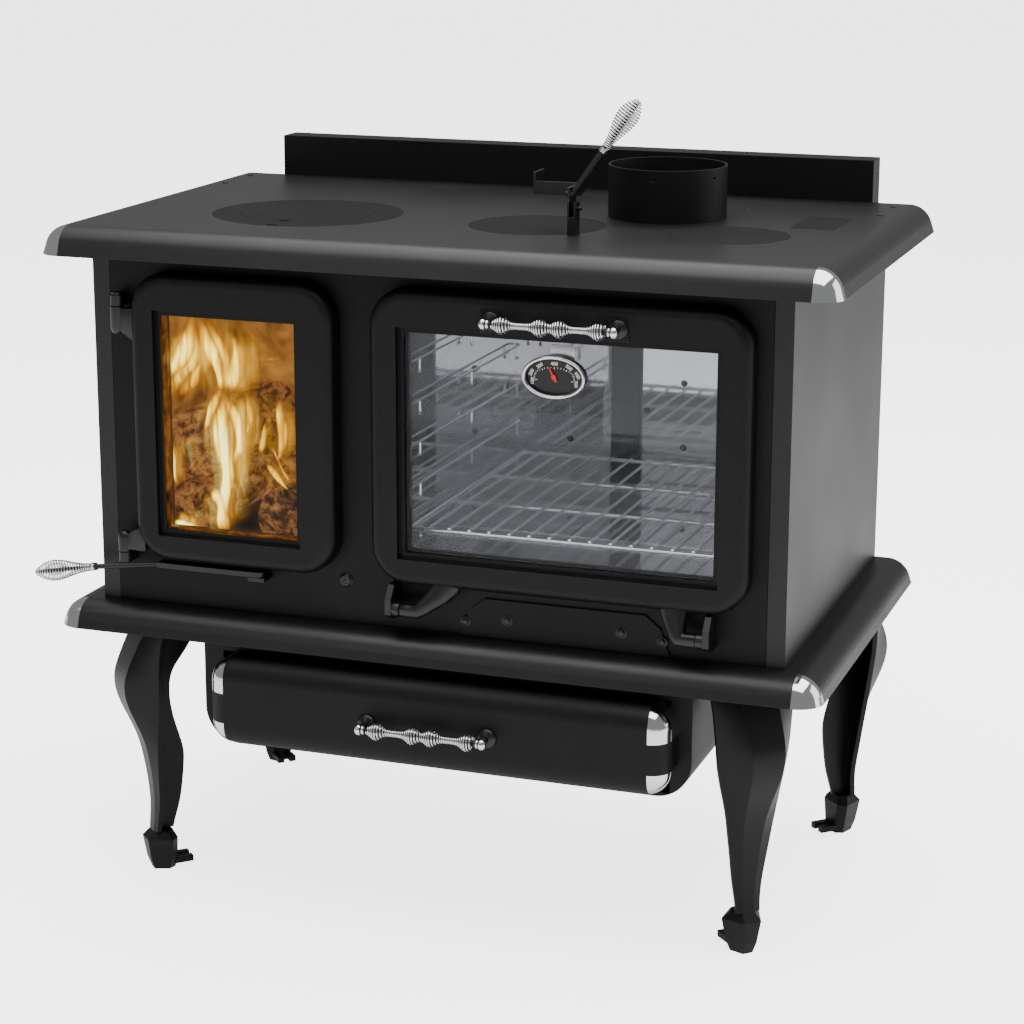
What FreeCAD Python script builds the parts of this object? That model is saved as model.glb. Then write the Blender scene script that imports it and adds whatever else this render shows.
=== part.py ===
"""Wood burning cookstove: a firebox, an oven and a cooktop on four cast legs.

Lengths are millimetres and +Z is up. Sizes in the sheet are measured from the middle of the body's
front face at floor level: X to the right, Y to the back. frame_x and frame_y then move everything so
that the origin is the middle of the whole object's footprint, on the floor.
"""
import FreeCAD, Part
import math
import os
import re

import Sketcher
from FreeCAD import Placement, Rotation, Vector

SIZES = {
    # steel body
    "body_half": 450, "body_deep": 528, "sheet": 3, "plate": 6, "flange_wide": 23, "seam": 0.5,
    # cooktop and base tray: a flat plate with a rolled edge
    "top_level": 864, "top_thick": 10, "top_half": 477.4, "top_front": 7.5, "top_back": 534.8,
    "top_roll": 33.6, "top_drop": 35.4, "edge_skin": 5,
    "tray_level": 380, "tray_thick": 6, "tray_half": 467.6, "tray_front": 10.1, "tray_back": 527,
    "tray_roll": 33.8, "tray_drop": 32.8,
    # openings in the front plate, which are also the panes that show
    "pane_low": 484.5, "pane_high": 759, "fire_left": -348.5, "fire_right": -167.5,
    "oven_left": -24, "oven_right": 365.5,
    # doors
    "door_low": 444, "door_high": 812, "door_deep": 28, "door_gap": 0.6, "door_corner": 48,
    "door_round": 13, "fire_door_left": -389, "fire_door_right": -115,
    "oven_door_left": -68, "oven_door_right": 408, "rebate": 7, "rebate_deep": 8, "lip_thick": 3.6,
    "glass_thick": 5, "pane_lap": 5, "retainer_thick": 4,
    # hinges
    "pin_radius": 4, "pin_play": 0.05, "barrel_radius": 8, "fire_hinge_x": -408, "fire_hinge_y": -19,
    "oven_hinge_y": -26, "oven_hinge_z": 413, "oven_middle": 169, "hinge_middle": 160.5, "bracket_reach": 208.4,
    "left_arm_foot": 126.5, "right_arm_foot": 156,
    # coil handles
    "handle_half": 79, "handle_off": 22, "coil_radius": 11.5, "waist_radius": 5.2, "coil_half": 70,
    "rod_radius": 3.2, "ball_radius": 6.4, "cup_radius": 5, "oven_handle_z": 781,
    # thermometer
    "gauge_x": 168.5, "gauge_z": 718, "gauge_half_wide": 39, "gauge_half_high": 25.5, "gauge_deep": 11,
    # cooktop fittings
    "ring_x": -238, "ring_y": 189, "ring_radius": 122.6, "lid_radius": 85.9, "casting": 7.6,
    "middle_x": 75, "middle_y": 188, "middle_radius": 86, "right_x": 322, "right_y": 188,
    "right_radius": 74, "hatch_left": 378, "hatch_front": 270, "hatch_wide": 55, "hatch_deep": 111,
    "collar_x": 205, "collar_y": 322, "collar_radius": 75.9, "collar_wall": 2.5, "collar_tall": 66.6,
    # rear heat shield
    "shield_half": 427, "shield_front": 535.3, "shield_back": 577.2, "shield_top": 919.4,
    "shield_low": 430, "shield_skin": 2,
    # damper lever
    "damper_x": 141, "post_y": 121, "pivot_y": 130, "pivot_z": 896, "root_lean": 106, "root_long": 18,
    "lever_lean": 54.7, "lever_turn": -64.7, "lever_long": 140, "grip_long": 72, "grip_radius": 14.5,
    # latch lever below the fire door
    "latch_x": -223.5, "latch_y": -15, "latch_z": 436.7, "latch_wide": 17, "latch_thick": 6.5,
    "latch_long": 138,
    # ash drawer and its housing
    "drawer_middle": 18.4, "front_middle": 21.7, "housing_half": 322.8, "housing_low": 205.5, "housing_front": 10,
    "housing_back": 410, "housing_round": 46, "drawer_half": 301.7, "drawer_low": 218,
    "drawer_high": 331, "drawer_nose": 60, "drawer_round": 26, "drawer_handle_z": 272,
    # air slide
    "air_x": -223.5, "air_z": 348,
    # legs: a point on each leg's middle plane, at its foot
    "leg_front_x": 406, "leg_front_y": 29, "leg_back_x": 434, "leg_back_y": 478,
    # oven liner and firebox
    "liner_left": -50, "liner_right": 394, "liner_low": 460, "liner_high": 792, "liner_deep": 490,
    "box_left": -430, "box_right": -70, "box_low": 452, "box_high": 800, "box_back": 470,
    "brick_thick": 30, "brick_high": 700,
    # how far the object reaches, which sets the origin
    "grip_reach": 523.07, "front_reach": 93.5,
}

DOC = FreeCAD.newDocument("wood_burning_cookstove")
SHEET = DOC.addObject("Spreadsheet::Sheet", "sizes")
for row, (alias, number) in enumerate(SIZES.items(), start=1):
    SHEET.set(f"A{row}", alias)
    SHEET.set(f"B{row}", str(number))
    SHEET.setAlias(f"B{row}", alias)
for row, (alias, formula) in enumerate({
    "frame_x": "=(top_half + top_roll - grip_reach) / 2",
    "frame_y": "=(shield_back - front_reach) / 2",
}.items(), start=len(SIZES) + 1):
    SHEET.set(f"A{row}", alias)
    SHEET.set(f"B{row}", formula)
    SHEET.setAlias(f"B{row}", alias)
DOC.recompute()
ALIASES = set(SIZES) | {"frame_x", "frame_y"}
NODES = []


def mm(alias):
    """The sheet's number for one alias."""
    return float(getattr(SHEET, alias))


FRAME = Vector(-mm("frame_x"), -mm("frame_y"), 0)


def bind(item, slot, formula):
    """Ties a property to a formula written in the sheet's aliases."""
    words = re.sub(r"[a-z]\w*", lambda m: f"sizes.{m[0]}" if m[0] in ALIASES else m[0], str(formula))
    item.setExpression(slot, words)


def place(item, corner, turn=None):
    """Puts an object at three formulas in the sheet's axes."""
    if turn is not None:
        item.Placement = Placement(Vector(), turn)
    for axis, formula, shift in zip("xyz", corner, ("frame_x", "frame_y", "0")):
        bind(item, f"Placement.Base.{axis}", f"({formula}) - {shift}")
    return item


def node(item, label):
    """Names an object as one of the stove's pieces."""
    item.Label = label
    NODES.append(item)
    return item


def box(name, corner, span):
    """A block from its lowest corner and its three lengths."""
    item = DOC.addObject("Part::Box", name)
    for slot, formula in zip(("Length", "Width", "Height"), span):
        bind(item, slot, formula)
    return place(item, corner)


TURNS = {"x": Rotation(Vector(0, 1, 0), 90), "y": Rotation(Vector(1, 0, 0), -90), "z": Rotation()}


def cylinder(name, start, radius, height, axis="z"):
    """A round bar that starts at a point and runs along +X, +Y or +Z."""
    item = DOC.addObject("Part::Cylinder", name)
    bind(item, "Radius", radius)
    bind(item, "Height", height)
    return place(item, start, TURNS[axis])


def fuse(name, items):
    """Several solids made one."""
    item = DOC.addObject("Part::MultiFuse", name)
    item.Shapes = items
    return item


def cut(name, base, tools):
    """A solid with others taken out of it."""
    item = DOC.addObject("Part::Cut", name)
    item.Base = base
    item.Tool = tools[0] if len(tools) == 1 else fuse(name + "_tools", tools)
    return item


def feature(label, shape):
    """A piece whose outline needs Part's own functions."""
    item = DOC.addObject("Part::Feature", label)
    item.Shape = shape
    item.Placement = Placement(FRAME, Rotation()).multiply(item.Placement)
    return node(item, label)


def body(label, corner):
    """A PartDesign body whose own origin is at a point of the stove."""
    item = DOC.addObject("PartDesign::Body", label)
    place(item, corner)
    return node(item, label)


def sketch(owner, name, plane="XZ_Plane", offset=0):
    """A sketch on one of its body's own planes, moved out along the plane's normal."""
    item = owner.newObject("Sketcher::SketchObject", name)
    found = [f for f in owner.Origin.OriginFeatures if f.Role == plane]
    item.AttachmentSupport = [(found[0], "")]
    item.MapMode = "FlatFace"
    item.AttachmentOffset = Placement(Vector(0, 0, offset), Rotation())
    return item


def outline(drawing, points):
    """A closed outline of straight lines whose corners are each bound to two formulas."""
    first = drawing.GeometryCount
    count = len(points)
    rough = [Vector(50 * math.cos(2 * math.pi * i / count) + 60, 50 * math.sin(2 * math.pi * i / count) + 60, 0)
             for i in range(count)]
    for i in range(count):
        drawing.addGeometry(Part.LineSegment(rough[i], rough[(i + 1) % count]), False)
    for i in range(count):
        drawing.addConstraint(Sketcher.Constraint("Coincident", first + i, 2, first + (i + 1) % count, 1))
    for i, (across, up) in enumerate(points):
        for kind, formula in (("DistanceX", across), ("DistanceY", up)):
            index = drawing.addConstraint(Sketcher.Constraint(kind, -1, 1, first + i, 1, 10.0))
            bind(drawing, f"Constraints[{index}]", formula)


def rectangle(drawing, left, low, right, high):
    """A closed rectangle bound to four formulas."""
    outline(drawing, [(left, low), (right, low), (right, high), (left, high)])


def pad(owner, drawing, name, length):
    """Pads a sketch along its normal."""
    item = owner.newObject("PartDesign::Pad", name)
    item.Profile = drawing
    bind(item, "Length", length)
    DOC.recompute()
    return item


def fillet(owner, base, name, radius, wanted):
    """Rounds the edges of a feature that pass a test."""
    item = owner.newObject("PartDesign::Fillet", name)
    names = [f"Edge{i}" for i, edge in enumerate(base.Shape.Edges, start=1) if wanted(edge)]
    item.Base = (base, names)
    bind(item, "Radius", radius)
    owner.Tip = item
    DOC.recompute()
    return item


def runs_along(edge, axis):
    """True for a straight edge parallel to an axis of its body."""
    ends = edge.Vertexes
    if len(ends) < 2:
        return False
    way = (ends[-1].Point - ends[0].Point).normalize()
    return abs(abs(way.dot(axis)) - 1) < 1e-6


Y_AXIS = Vector(0, 1, 0)


# ---- steel body -------------------------------------------------------------------------------------

def make_front_plate():
    """The front plate, with the fire, oven and cleanout openings."""
    low, left = "tray_level", "seam - body_half + flange_wide"
    owner = body("front_plate", (left, "plate", low))
    drawing = sketch(owner, "front_outline")
    rectangle(drawing, "0", "0", "2 * (body_half - flange_wide - seam)", "top_level - top_thick - tray_level")
    for near, far in (("fire_left", "fire_right"), ("oven_left", "oven_right")):
        rectangle(drawing, f"{near} - ({left})", f"pane_low - {low}", f"{far} - ({left})", f"pane_high - {low}")
    rectangle(drawing, f"oven_middle - 90 - ({left})", "8", f"oven_middle + 90 - ({left})", "36")
    pad(owner, drawing, "front_sheet", "plate")


def make_side_panels():
    """The two side panels, each with a narrow flange folded onto the front."""
    tall = "top_level - top_thick - tray_level"
    for name, wall_x, flange_x in (
        ("left", "-body_half", "-body_half"),
        ("right", "body_half - sheet", "body_half - flange_wide"),
    ):
        wall = box(f"{name}_wall", (wall_x, "0", "tray_level"), ("sheet", "body_deep - sheet", tall))
        flange = box(f"{name}_flange", (flange_x, "0", "tray_level"), ("flange_wide", "sheet", tall))
        node(fuse(f"{name}_fold", [wall, flange]), f"{name}_side_panel")


def make_back_and_bottom():
    """The back panel, and the bottom plate with its ash hole."""
    tall = "top_level - top_thick - tray_level"
    inner = "2 * (body_half - sheet)"
    node(box("back_sheet", ("sheet - body_half", "body_deep - sheet", "tray_level"), ("2 * (body_half - sheet)",
         "sheet", tall)), "back_panel")
    floor = box("bottom_sheet", ("sheet - body_half", "plate", "tray_level"),
                (inner, "body_deep - sheet - plate", "sheet"))
    hole = box("bottom_hole", ("-330", "100", "tray_level - 1"), ("180", "280", "sheet + 2"))
    node(cut("bottom_cut", floor, [hole]), "bottom_plate")


# ---- cooktop and base tray --------------------------------------------------------------------------

ROLL_TURN = math.radians(72)


def edge_profile(reach, drop, skin):
    """The rolled edge's section: an arc of ROLL_TURN, then a straight skirt that leans out.

    The plane is (outward, up) from the flat plate's upper edge, returned as a face in XZ.
    """
    lean_x, lean_z = math.cos(ROLL_TURN), math.sin(ROLL_TURN)
    slope = lean_z / lean_x
    radius = (slope * reach - drop) / (slope * lean_z - (1 - lean_x))

    def arc(r):
        points = [Vector(r * math.sin(a), 0, -radius + r * math.cos(a)) for a in (0, ROLL_TURN / 2, ROLL_TURN)]
        return points[0], points[2], Part.Arc(*points)

    outer_start, outer_end, outer = arc(radius)
    inner_start, inner_end, inner = arc(radius - skin)
    fall = (inner_end.z + drop) / lean_z
    inner_foot = inner_end + Vector(lean_x, 0, -lean_z) * fall
    foot = Vector(reach, 0, -drop)
    lines = [(outer_end, foot), (foot, inner_foot), (inner_foot, inner_end), (inner_start, outer_start)]
    edges = [outer.toShape(), inner.toShape()] + [Part.makeLine(a, b) for a, b in lines]
    return Part.Face(Part.Wire(Part.__sortEdges__(edges)))


def rolled_plate(prefix, thick):
    """A flat plate with its front and sides rolled down, and its two front corner pieces."""
    half, front, back = mm(prefix + "_half"), mm(prefix + "_front"), mm(prefix + "_back")
    level = mm(prefix + "_level")
    profile = edge_profile(mm(prefix + "_roll"), mm(prefix + "_drop"), mm("edge_skin"))
    profile.translate(Vector(half, -front, level))
    side = profile.extrude(Vector(0, back + front, 0))
    corner = profile.revolve(Vector(half, -front, 0), Vector(0, 0, 1), -90)
    facing = profile.copy()
    facing.rotate(Vector(half, -front, 0), Vector(0, 0, 1), -90)
    nose = facing.extrude(Vector(-2 * half, 0, 0))
    flat = Part.makeBox(2 * half, back + front, thick, Vector(-half, -front, level - thick))
    middle = Vector(0, 0, 0)
    plate = flat.fuse([side, side.mirror(middle, Vector(1, 0, 0)), nose]).removeSplitter()
    corners = Part.makeCompound([corner, corner.mirror(middle, Vector(1, 0, 0))])
    return plate, corners


def disc(x, y, radius, low, high):
    """A round plate between two levels."""
    return Part.makeCylinder(radius, high - low, Vector(x, y, low))


def seat(x, y, radius, ledge):
    """The two-step hole that a cast burner plate drops into."""
    top = mm("top_level")
    return disc(x, y, radius + 0.4, top - mm("casting") - 0.3, top + 1).fuse(
        disc(x, y, radius - ledge, top - mm("top_thick") - 1, top))


def screw_places():
    """The cooktop's screws and its vent hole plug."""
    return [(-467, 504), (-465, 418), (462, 502), (462, 418), (289, 408)]


def make_cooktop():
    """The cooktop, its chrome corners and the cast plates that lie flush in it."""
    top, under = mm("top_level"), mm("top_level") - mm("top_thick")
    plate, corners = rolled_plate("top", mm("top_thick"))
    casting = mm("casting")
    holes = [
        seat(mm("ring_x"), mm("ring_y"), mm("ring_radius"), 7),
        seat(mm("middle_x"), mm("middle_y"), mm("middle_radius"), 7),
        seat(mm("right_x"), mm("right_y"), mm("right_radius"), 7),
        disc(mm("collar_x"), mm("collar_y"), mm("collar_radius") - mm("collar_wall"), under - 1, top + 1),
    ]
    left, front, wide, deep = (mm(n) for n in ("hatch_left", "hatch_front", "hatch_wide", "hatch_deep"))
    holes.append(Part.makeBox(wide + 0.6, deep + 0.6, 6, Vector(left - 0.3, front - 0.3, top - 5)))
    holes.append(Part.makeBox(wide - 12, deep - 12, 20, Vector(left + 6, front + 6, under - 5)))
    holes += [disc(x, y, 2, top - 5, top + 1) for x, y in screw_places()]
    feature("cooktop", plate.cut(holes).removeSplitter())
    feature("cooktop_corners", corners)
    plates = [disc(mm(n + "_x"), mm(n + "_y"), mm(n + "_radius"), top - casting, top)
              for n in ("middle", "right")]
    plates.append(Part.makeBox(wide, deep, 4.7, Vector(left, front, top - 4.7)))
    feature("cooktop_plates", Part.makeCompound(plates))
    screws = []
    for x, y in screw_places():
        head = disc(x, y, 4, top, top + 1.4)
        head = head.makeFillet(1.0, [head.Edges[0]])
        screws.append(head.fuse(disc(x, y, 1.9, top - 4, top)))
    feature("cooktop_screws", Part.makeCompound(screws))


def make_burner():
    """The lift-out ring and the lid inside it, with a slot for the lifter."""
    top, casting = mm("top_level"), mm("casting")
    x, y, radius, lid = mm("ring_x"), mm("ring_y"), mm("ring_radius"), mm("lid_radius")
    ring = disc(x, y, radius, top - casting, top)
    ring = ring.cut([disc(x, y, lid + 0.4, top - 4, top + 1), disc(x, y, lid - 6, top - casting - 1, top)])
    slot = Part.makeBox(14, 7, 20, Vector(x - 7, y - radius + 6, top - 12))
    feature("burner_ring", ring.cut(slot))
    cover = disc(x, y, lid, top - 3.7, top).fuse(disc(x, y, lid - 6.4, top - casting, top - 3.7))
    pocket = Part.makeBox(14, 7, 3, Vector(x - 7, y - lid + 8, top - 2.5))
    feature("burner_lid", cover.cut(pocket).removeSplitter())


def make_tray():
    """The base tray under the body, with the ash chute's hole, and its chrome corners."""
    plate, corners = rolled_plate("tray", mm("tray_thick"))
    chute = Part.makeBox(180, 280, 40, Vector(-285, 100, mm("tray_level") - 20))
    feature("base_tray", plate.cut(chute))
    feature("tray_corners", corners)


def make_collar():
    """The flue collar, a welded ring with three screw holes near its rim."""
    outer = "collar_radius"
    at = ("collar_x", "collar_y", "top_level")
    wall = cylinder("collar_wall_bar", at, outer, "collar_tall")
    bore = cylinder("collar_bore", ("collar_x", "collar_y", "top_level - 1"), f"{outer} - collar_wall",
                    "collar_tall + 2")
    holes = []
    for i, turn in enumerate((272, 336, 150)):
        hole = DOC.addObject("Part::Cylinder", f"collar_hole_{i}")
        hole.Radius = 2.2
        hole.Height = mm(outer) + 5
        place(hole, ("collar_x", "collar_y", "top_level + collar_tall - 12"),
              Rotation(Vector(0, 0, 1), turn).multiply(Rotation(Vector(0, 1, 0), 90)))
        holes.append(hole)
    node(cut("collar_ring", wall, [bore] + holes), "flue_collar")


def make_heat_shield():
    """The rear heat shield: a shallow sheet box behind the body that stands above the cooktop."""
    deep = "shield_back - shield_front"
    tall = "shield_top - shield_low"
    rear = box("shield_rear", ("-shield_half", "shield_back - shield_skin", "shield_low"),
               ("2 * shield_half", "shield_skin", tall))
    lid = box("shield_lid", ("-shield_half", "shield_front", "shield_top - shield_skin"),
              ("2 * shield_half", deep, "shield_skin"))
    ends = [box(f"shield_end_{i}", (x, "shield_front", "shield_low"), ("shield_skin", deep, tall))
            for i, x in enumerate(("-shield_half", "shield_half - shield_skin"))]
    apron = box("shield_apron", ("-shield_half", "shield_front", "top_level - 36"),
                ("2 * shield_half", "shield_skin", "shield_top - top_level + 36"))
    stays = [cylinder(f"shield_stay_{i}", (x, "body_deep", z), "6", "shield_back - body_deep - 1", "y")
             for i, (x, z) in enumerate((a, b) for a in ("-330", "330") for b in ("480", "760"))]
    node(fuse("shield_shell", [rear, lid, apron] + ends + stays), "rear_heat_shield")


# ---- legs -------------------------------------------------------------------------------------------

# level, outer face, flank edge, half width and rib edge, from the foot's reference point outwards
LEG_SECTIONS = [
    (374, -6, -14, 61, -66), (345, 6, -6, 58, -66), (320, 20, 1, 55.5, -62), (292, 33, 3, 53, -46),
    (266, 40, 3, 50.5, -30), (244, 37.5, 2, 47.5, -27), (206, 22.5, 2, 39.5, -32), (170, 10, 1, 32.5, -42),
    (132, 3.5, -1, 26.5, -43), (95, 0.5, -3, 21, -38), (66, 1.5, -1, 17.2, -30), (54, 3, 0, 17, -27),
]
FOOT_SECTIONS = [(54, 3, -23, 18), (44, 12, -28, 27), (14, 7, -28, 20.5), (0, 2, -26, 15)]
LEG_WALL = 6.5
LEG_RIB = 2.6


def leg_section(level, outer, flank, half, rib):
    """A shallow three-faced channel, open to the inside of the stove, with a deep rib down its middle."""
    facet = 0.45 * half
    back = outer - LEG_WALL
    side = [(flank, half), (flank - LEG_WALL, half - 1.5), (back, facet - 1), (back, LEG_RIB), (rib, LEG_RIB)]
    points = [(outer, facet)] + side + [(s, -w) for s, w in reversed(side)] + [(outer, -facet)]
    return Part.makePolygon([Vector(s, w, level) for s, w in points + points[:1]])


def foot_section(level, outer, inner, half):
    """A six-sided block section."""
    facet = 0.45 * half
    points = [(inner, -0.6 * half), (inner + 10, -half), (outer, -facet), (outer, facet), (inner + 10, half),
              (inner, 0.6 * half)]
    return Part.makePolygon([Vector(s, w, level) for s, w in points + points[:1]])


def leg_shape():
    """One cast leg, with +X pointing out of its corner."""
    shank = Part.makeLoft([leg_section(*row) for row in LEG_SECTIONS], True, False)
    foot = Part.makeLoft([foot_section(*row) for row in FOOT_SECTIONS], True, True)
    toes = [Part.makeBox(26, 9, 8, Vector(-50, side - 4.5, 5)) for side in (-9, 9)]
    pad_plate = Part.makeBox(46, 80, 4, Vector(-46, -40, 370))
    return shank.fuse([foot, pad_plate] + toes).removeSplitter()


def make_legs():
    """The four legs, each turned to point out of its own corner, and their bolts."""
    shape = leg_shape()
    bolts = []
    for name, side, end, turn in (("front_left", -1, "front", 225), ("front_right", 1, "front", 315),
                                  ("back_left", -1, "back", 135), ("back_right", 1, "back", 45)):
        spot = Vector(side * mm(f"leg_{end}_x"), mm(f"leg_{end}_y"), 0)
        leg = shape.copy()
        leg.rotate(Vector(), Vector(0, 0, 1), turn)
        leg.translate(spot)
        feature(f"leg_{name}", leg)
        for across in (-30, 30):
            bolt = disc(-32, across, 5, 364, 370)
            bolt.rotate(Vector(), Vector(0, 0, 1), turn)
            bolt.translate(spot)
            bolts.append(bolt)
    feature("leg_bolts", Part.makeCompound(bolts))


# ---- firebox ----------------------------------------------------------------------------------------

# the front end's place, radius, length, turn from +X and rise, of each log
FIRE_LOGS = [(-208, 38, 498, 38, 200, 110, 4), (-345, 60, 577, 45, 230, 89, 0), (-352, 66, 494, 36, 260, 89, 0)]

def make_firebox():
    """The welded firebox, open in front and above, with brick, grate, baffle, air tubes and logs."""
    left, right, low, high, back = (mm(f"box_{n}") for n in ("left", "right", "low", "high", "back"))
    wall, front = 5.0, mm("plate")
    outer = Part.makeBox(right - left, back - front, high - low, Vector(left, front, low))
    inner = Part.makeBox(right - left - 2 * wall, back - front - wall + 1, high - low,
                         Vector(left + wall, front - 1, low + wall))
    grate_x, grate_y, grate_wide, grate_deep = -340, 110, 190, 270
    hole = Part.makeBox(grate_wide, grate_deep, 20, Vector(grate_x, grate_y, low - 5))
    feature("firebox_shell", outer.cut([inner, hole]))
    thick, course = mm("brick_thick"), 76.0
    bricks = []
    floor = low + wall
    rows = int((mm("brick_high") - floor) // course)
    for r in range(rows):
        level = floor + r * course
        for i in range(2):
            y = 20 + i * 207
            for x in (left + wall, right - wall - thick):
                bricks.append(Part.makeBox(thick, 206, course - 1, Vector(x, y, level)))
        for i in range(2):
            x = left + wall + thick + 0.5 + i * 145
            bricks.append(Part.makeBox(144, thick, course - 1, Vector(x, back - wall - thick, level)))
    feature("firebricks", Part.makeCompound(bricks))
    grate = Part.makeBox(grate_wide - 1, grate_deep - 1, 8, Vector(grate_x + 0.5, grate_y + 0.5, low - 3))
    slots = [Part.makeBox(10, grate_deep - 40, 20, Vector(grate_x + 16 + 21 * i, grate_y + 20, low - 6))
             for i in range(8)]
    feature("fire_grate", grate.cut(slots))
    feature("baffle_plate", Part.makeBox(right - left - 2 * wall - 2, back - wall - 72, 14,
                                         Vector(left + wall + 1, 70, 770)))
    tubes = []
    for y in (110, 210, 310):
        tube = Part.makeCylinder(11, right - left - 2 * wall - 2, Vector(left + wall + 1, y, 756), Vector(1, 0, 0))
        bore = Part.makeCylinder(9, 600, Vector(left, y, 756), Vector(1, 0, 0))
        tubes.append(tube.cut(bore))
    feature("air_tubes", Part.makeCompound(tubes))
    logs = []
    for x, y, z, radius, long, turn, rise in FIRE_LOGS:
        log = Part.makeCylinder(radius, long)
        log = log.makeFillet(5, [log.Edges[0], log.Edges[2]])
        log.rotate(Vector(), Vector(0, 1, 0), 90 - rise)
        log.rotate(Vector(), Vector(0, 0, 1), turn)
        log.translate(Vector(x, y, z))
        logs.append(log)
    feature("fire_logs", Part.makeCompound(logs))


# ---- oven -------------------------------------------------------------------------------------------

RACK_LEVEL = 502
SUPPORT_LEVELS = (502, 555, 608, 661, 714, 767)


def rack(level):
    """The wire rack: a frame, a few cross wires and many wires from front to back."""
    left, right = mm("liner_left") + 14, mm("liner_right") - 14
    front, back = 28, mm("liner_deep") - 30
    side, rod, wire = 3.2, 2.8, 2.0
    long = back - front
    shapes = [Part.makeCylinder(side, long + 2 * side, Vector(x, front - side, level), Vector(0, 1, 0))
              for x in (left, right)]
    shapes += [Part.makeCylinder(rod, right - left, Vector(left, y, level), Vector(1, 0, 0))
               for y in (front, front + long / 3, front + 2 * long / 3, back)]
    gaps = 16
    for i in range(1, gaps):
        x = left + (right - left) * i / gaps
        shapes.append(Part.makeCylinder(wire, long, Vector(x, front, level + 3), Vector(0, 1, 0)))
    return shapes[0].fuse(shapes[1:])


def make_oven():
    """The oven liner, its rack supports and its rack."""
    left, right, low, high, deep = (mm(f"liner_{n}") for n in ("left", "right", "low", "high", "deep"))
    skin, front = 2.0, mm("plate")
    outer = Part.makeBox(right - left, deep - front, high - low, Vector(left, front, low))
    inner = Part.makeBox(right - left - 2 * skin, deep - front - skin + 1, high - low - 2 * skin,
                         Vector(left + skin, front - 1, low + skin))
    feature("oven_liner", outer.cut(inner))
    ledges = []
    for level in SUPPORT_LEVELS:
        for x in (left + skin, right - skin - 9):
            ledges.append(Part.makeBox(9, deep - 60, 3, Vector(x, front + 14, level - 3.2 - 3.3)))
    feature("rack_supports", Part.makeCompound(ledges))
    feature("oven_rack", rack(RACK_LEVEL))


# ---- doors ------------------------------------------------------------------------------------------

def frame_ring(left, right, margin, front, back):
    """A flat rectangular ring round a pane, from the pane's edge out to a margin."""
    low, high = mm("pane_low"), mm("pane_high")
    outer = Part.makeBox(right - left + 2 * margin, back - front, high - low + 2 * margin,
                         Vector(left - margin, front, low - margin))
    inner = Part.makeBox(right - left, back - front + 2, high - low, Vector(left, front - 1, low))
    return outer.cut(inner)


def make_door(kind):
    """One cast door: the frame, its pane, the pane's retainer and the gasket behind it."""
    door_left, door_right, left, right = (f"{kind}_{n}" for n in ("door_left", "door_right", "left", "right"))
    owner = body(f"{kind}_door_frame", (door_left, "-door_gap", "door_low"))
    drawing = sketch(owner, f"{kind}_door_outline")
    rectangle(drawing, "0", "0", f"{door_right} - {door_left}", "door_high - door_low")
    rectangle(drawing, f"{left} - rebate - {door_left}", "pane_low - rebate - door_low",
              f"{right} + rebate - {door_left}", "pane_high + rebate - door_low")
    block = pad(owner, drawing, f"{kind}_door_block", "door_deep - door_gap")
    wide, tall = mm(door_right) - mm(door_left), mm("door_high") - mm("door_low")

    def at_outer_corner(edge):
        point = edge.Vertexes[0].Point
        return (runs_along(edge, Y_AXIS) and min(point.x, wide - point.x) < 1 and min(point.z, tall - point.z) < 1)

    turned = fillet(owner, block, f"{kind}_door_corners", "door_corner", at_outer_corner)
    reach = mm("door_gap") - mm("door_deep")

    def on_front_rim(edge):
        frame = edge.BoundBox
        inside = (frame.XMin > 30 and frame.XMax < wide - 30 and frame.ZMin > 30 and frame.ZMax < tall - 30)
        return abs(frame.YMin - reach) < 1e-6 and abs(frame.YMax - reach) < 1e-6 and not inside

    fillet(owner, turned, f"{kind}_door_rim", "door_round", on_front_rim)
    lip = sketch(owner, f"{kind}_lip_outline", offset=mm("door_deep") - mm("rebate_deep") - mm("lip_thick")
                 - mm("door_gap"))
    rectangle(lip, f"{left} - rebate - {door_left}", "pane_low - rebate - door_low",
              f"{right} + rebate - {door_left}", "pane_high + rebate - door_low")
    rectangle(lip, f"{left} - {door_left}", "pane_low - door_low", f"{right} - {door_left}",
              "pane_high - door_low")
    pad(owner, lip, f"{kind}_lip", "lip_thick")
    glass_back = -(mm("door_deep") - mm("rebate_deep") - mm("lip_thick")) + mm("glass_thick")
    node(box(f"{kind}_pane", (f"{left} - pane_lap", "lip_thick + rebate_deep - door_deep", "pane_low - pane_lap"),
             (f"{right} - {left} + 2 * pane_lap", "glass_thick", "pane_high - pane_low + 2 * pane_lap")),
         f"{kind}_door_glass")
    lap = mm("rebate") - 0.2
    held = glass_back + mm("retainer_thick")
    feature(f"{kind}_glass_retainer", frame_ring(mm(left), mm(right), lap, glass_back, held))
    feature(f"{kind}_door_gasket", frame_ring(mm(left), mm(right), lap, held, -0.35))
    return owner


def bar(start, end, radius):
    """A round bar between two points."""
    way = end - start
    return Part.makeCylinder(radius, way.Length, start, way)


def hull_arm(points, thick, axis):
    """A flat arm: a polygon pushed along an axis."""
    return Part.Face(Part.makePolygon(points + points[:1])).extrude(axis * thick)


def beside(frame, pieces):
    """Pieces of a door, less the parts of them that lie inside its frame."""
    DOC.recompute()
    solid = frame.Shape.translated(-FRAME)
    return Part.makeCompound([piece.cut(solid) for piece in pieces])


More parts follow.
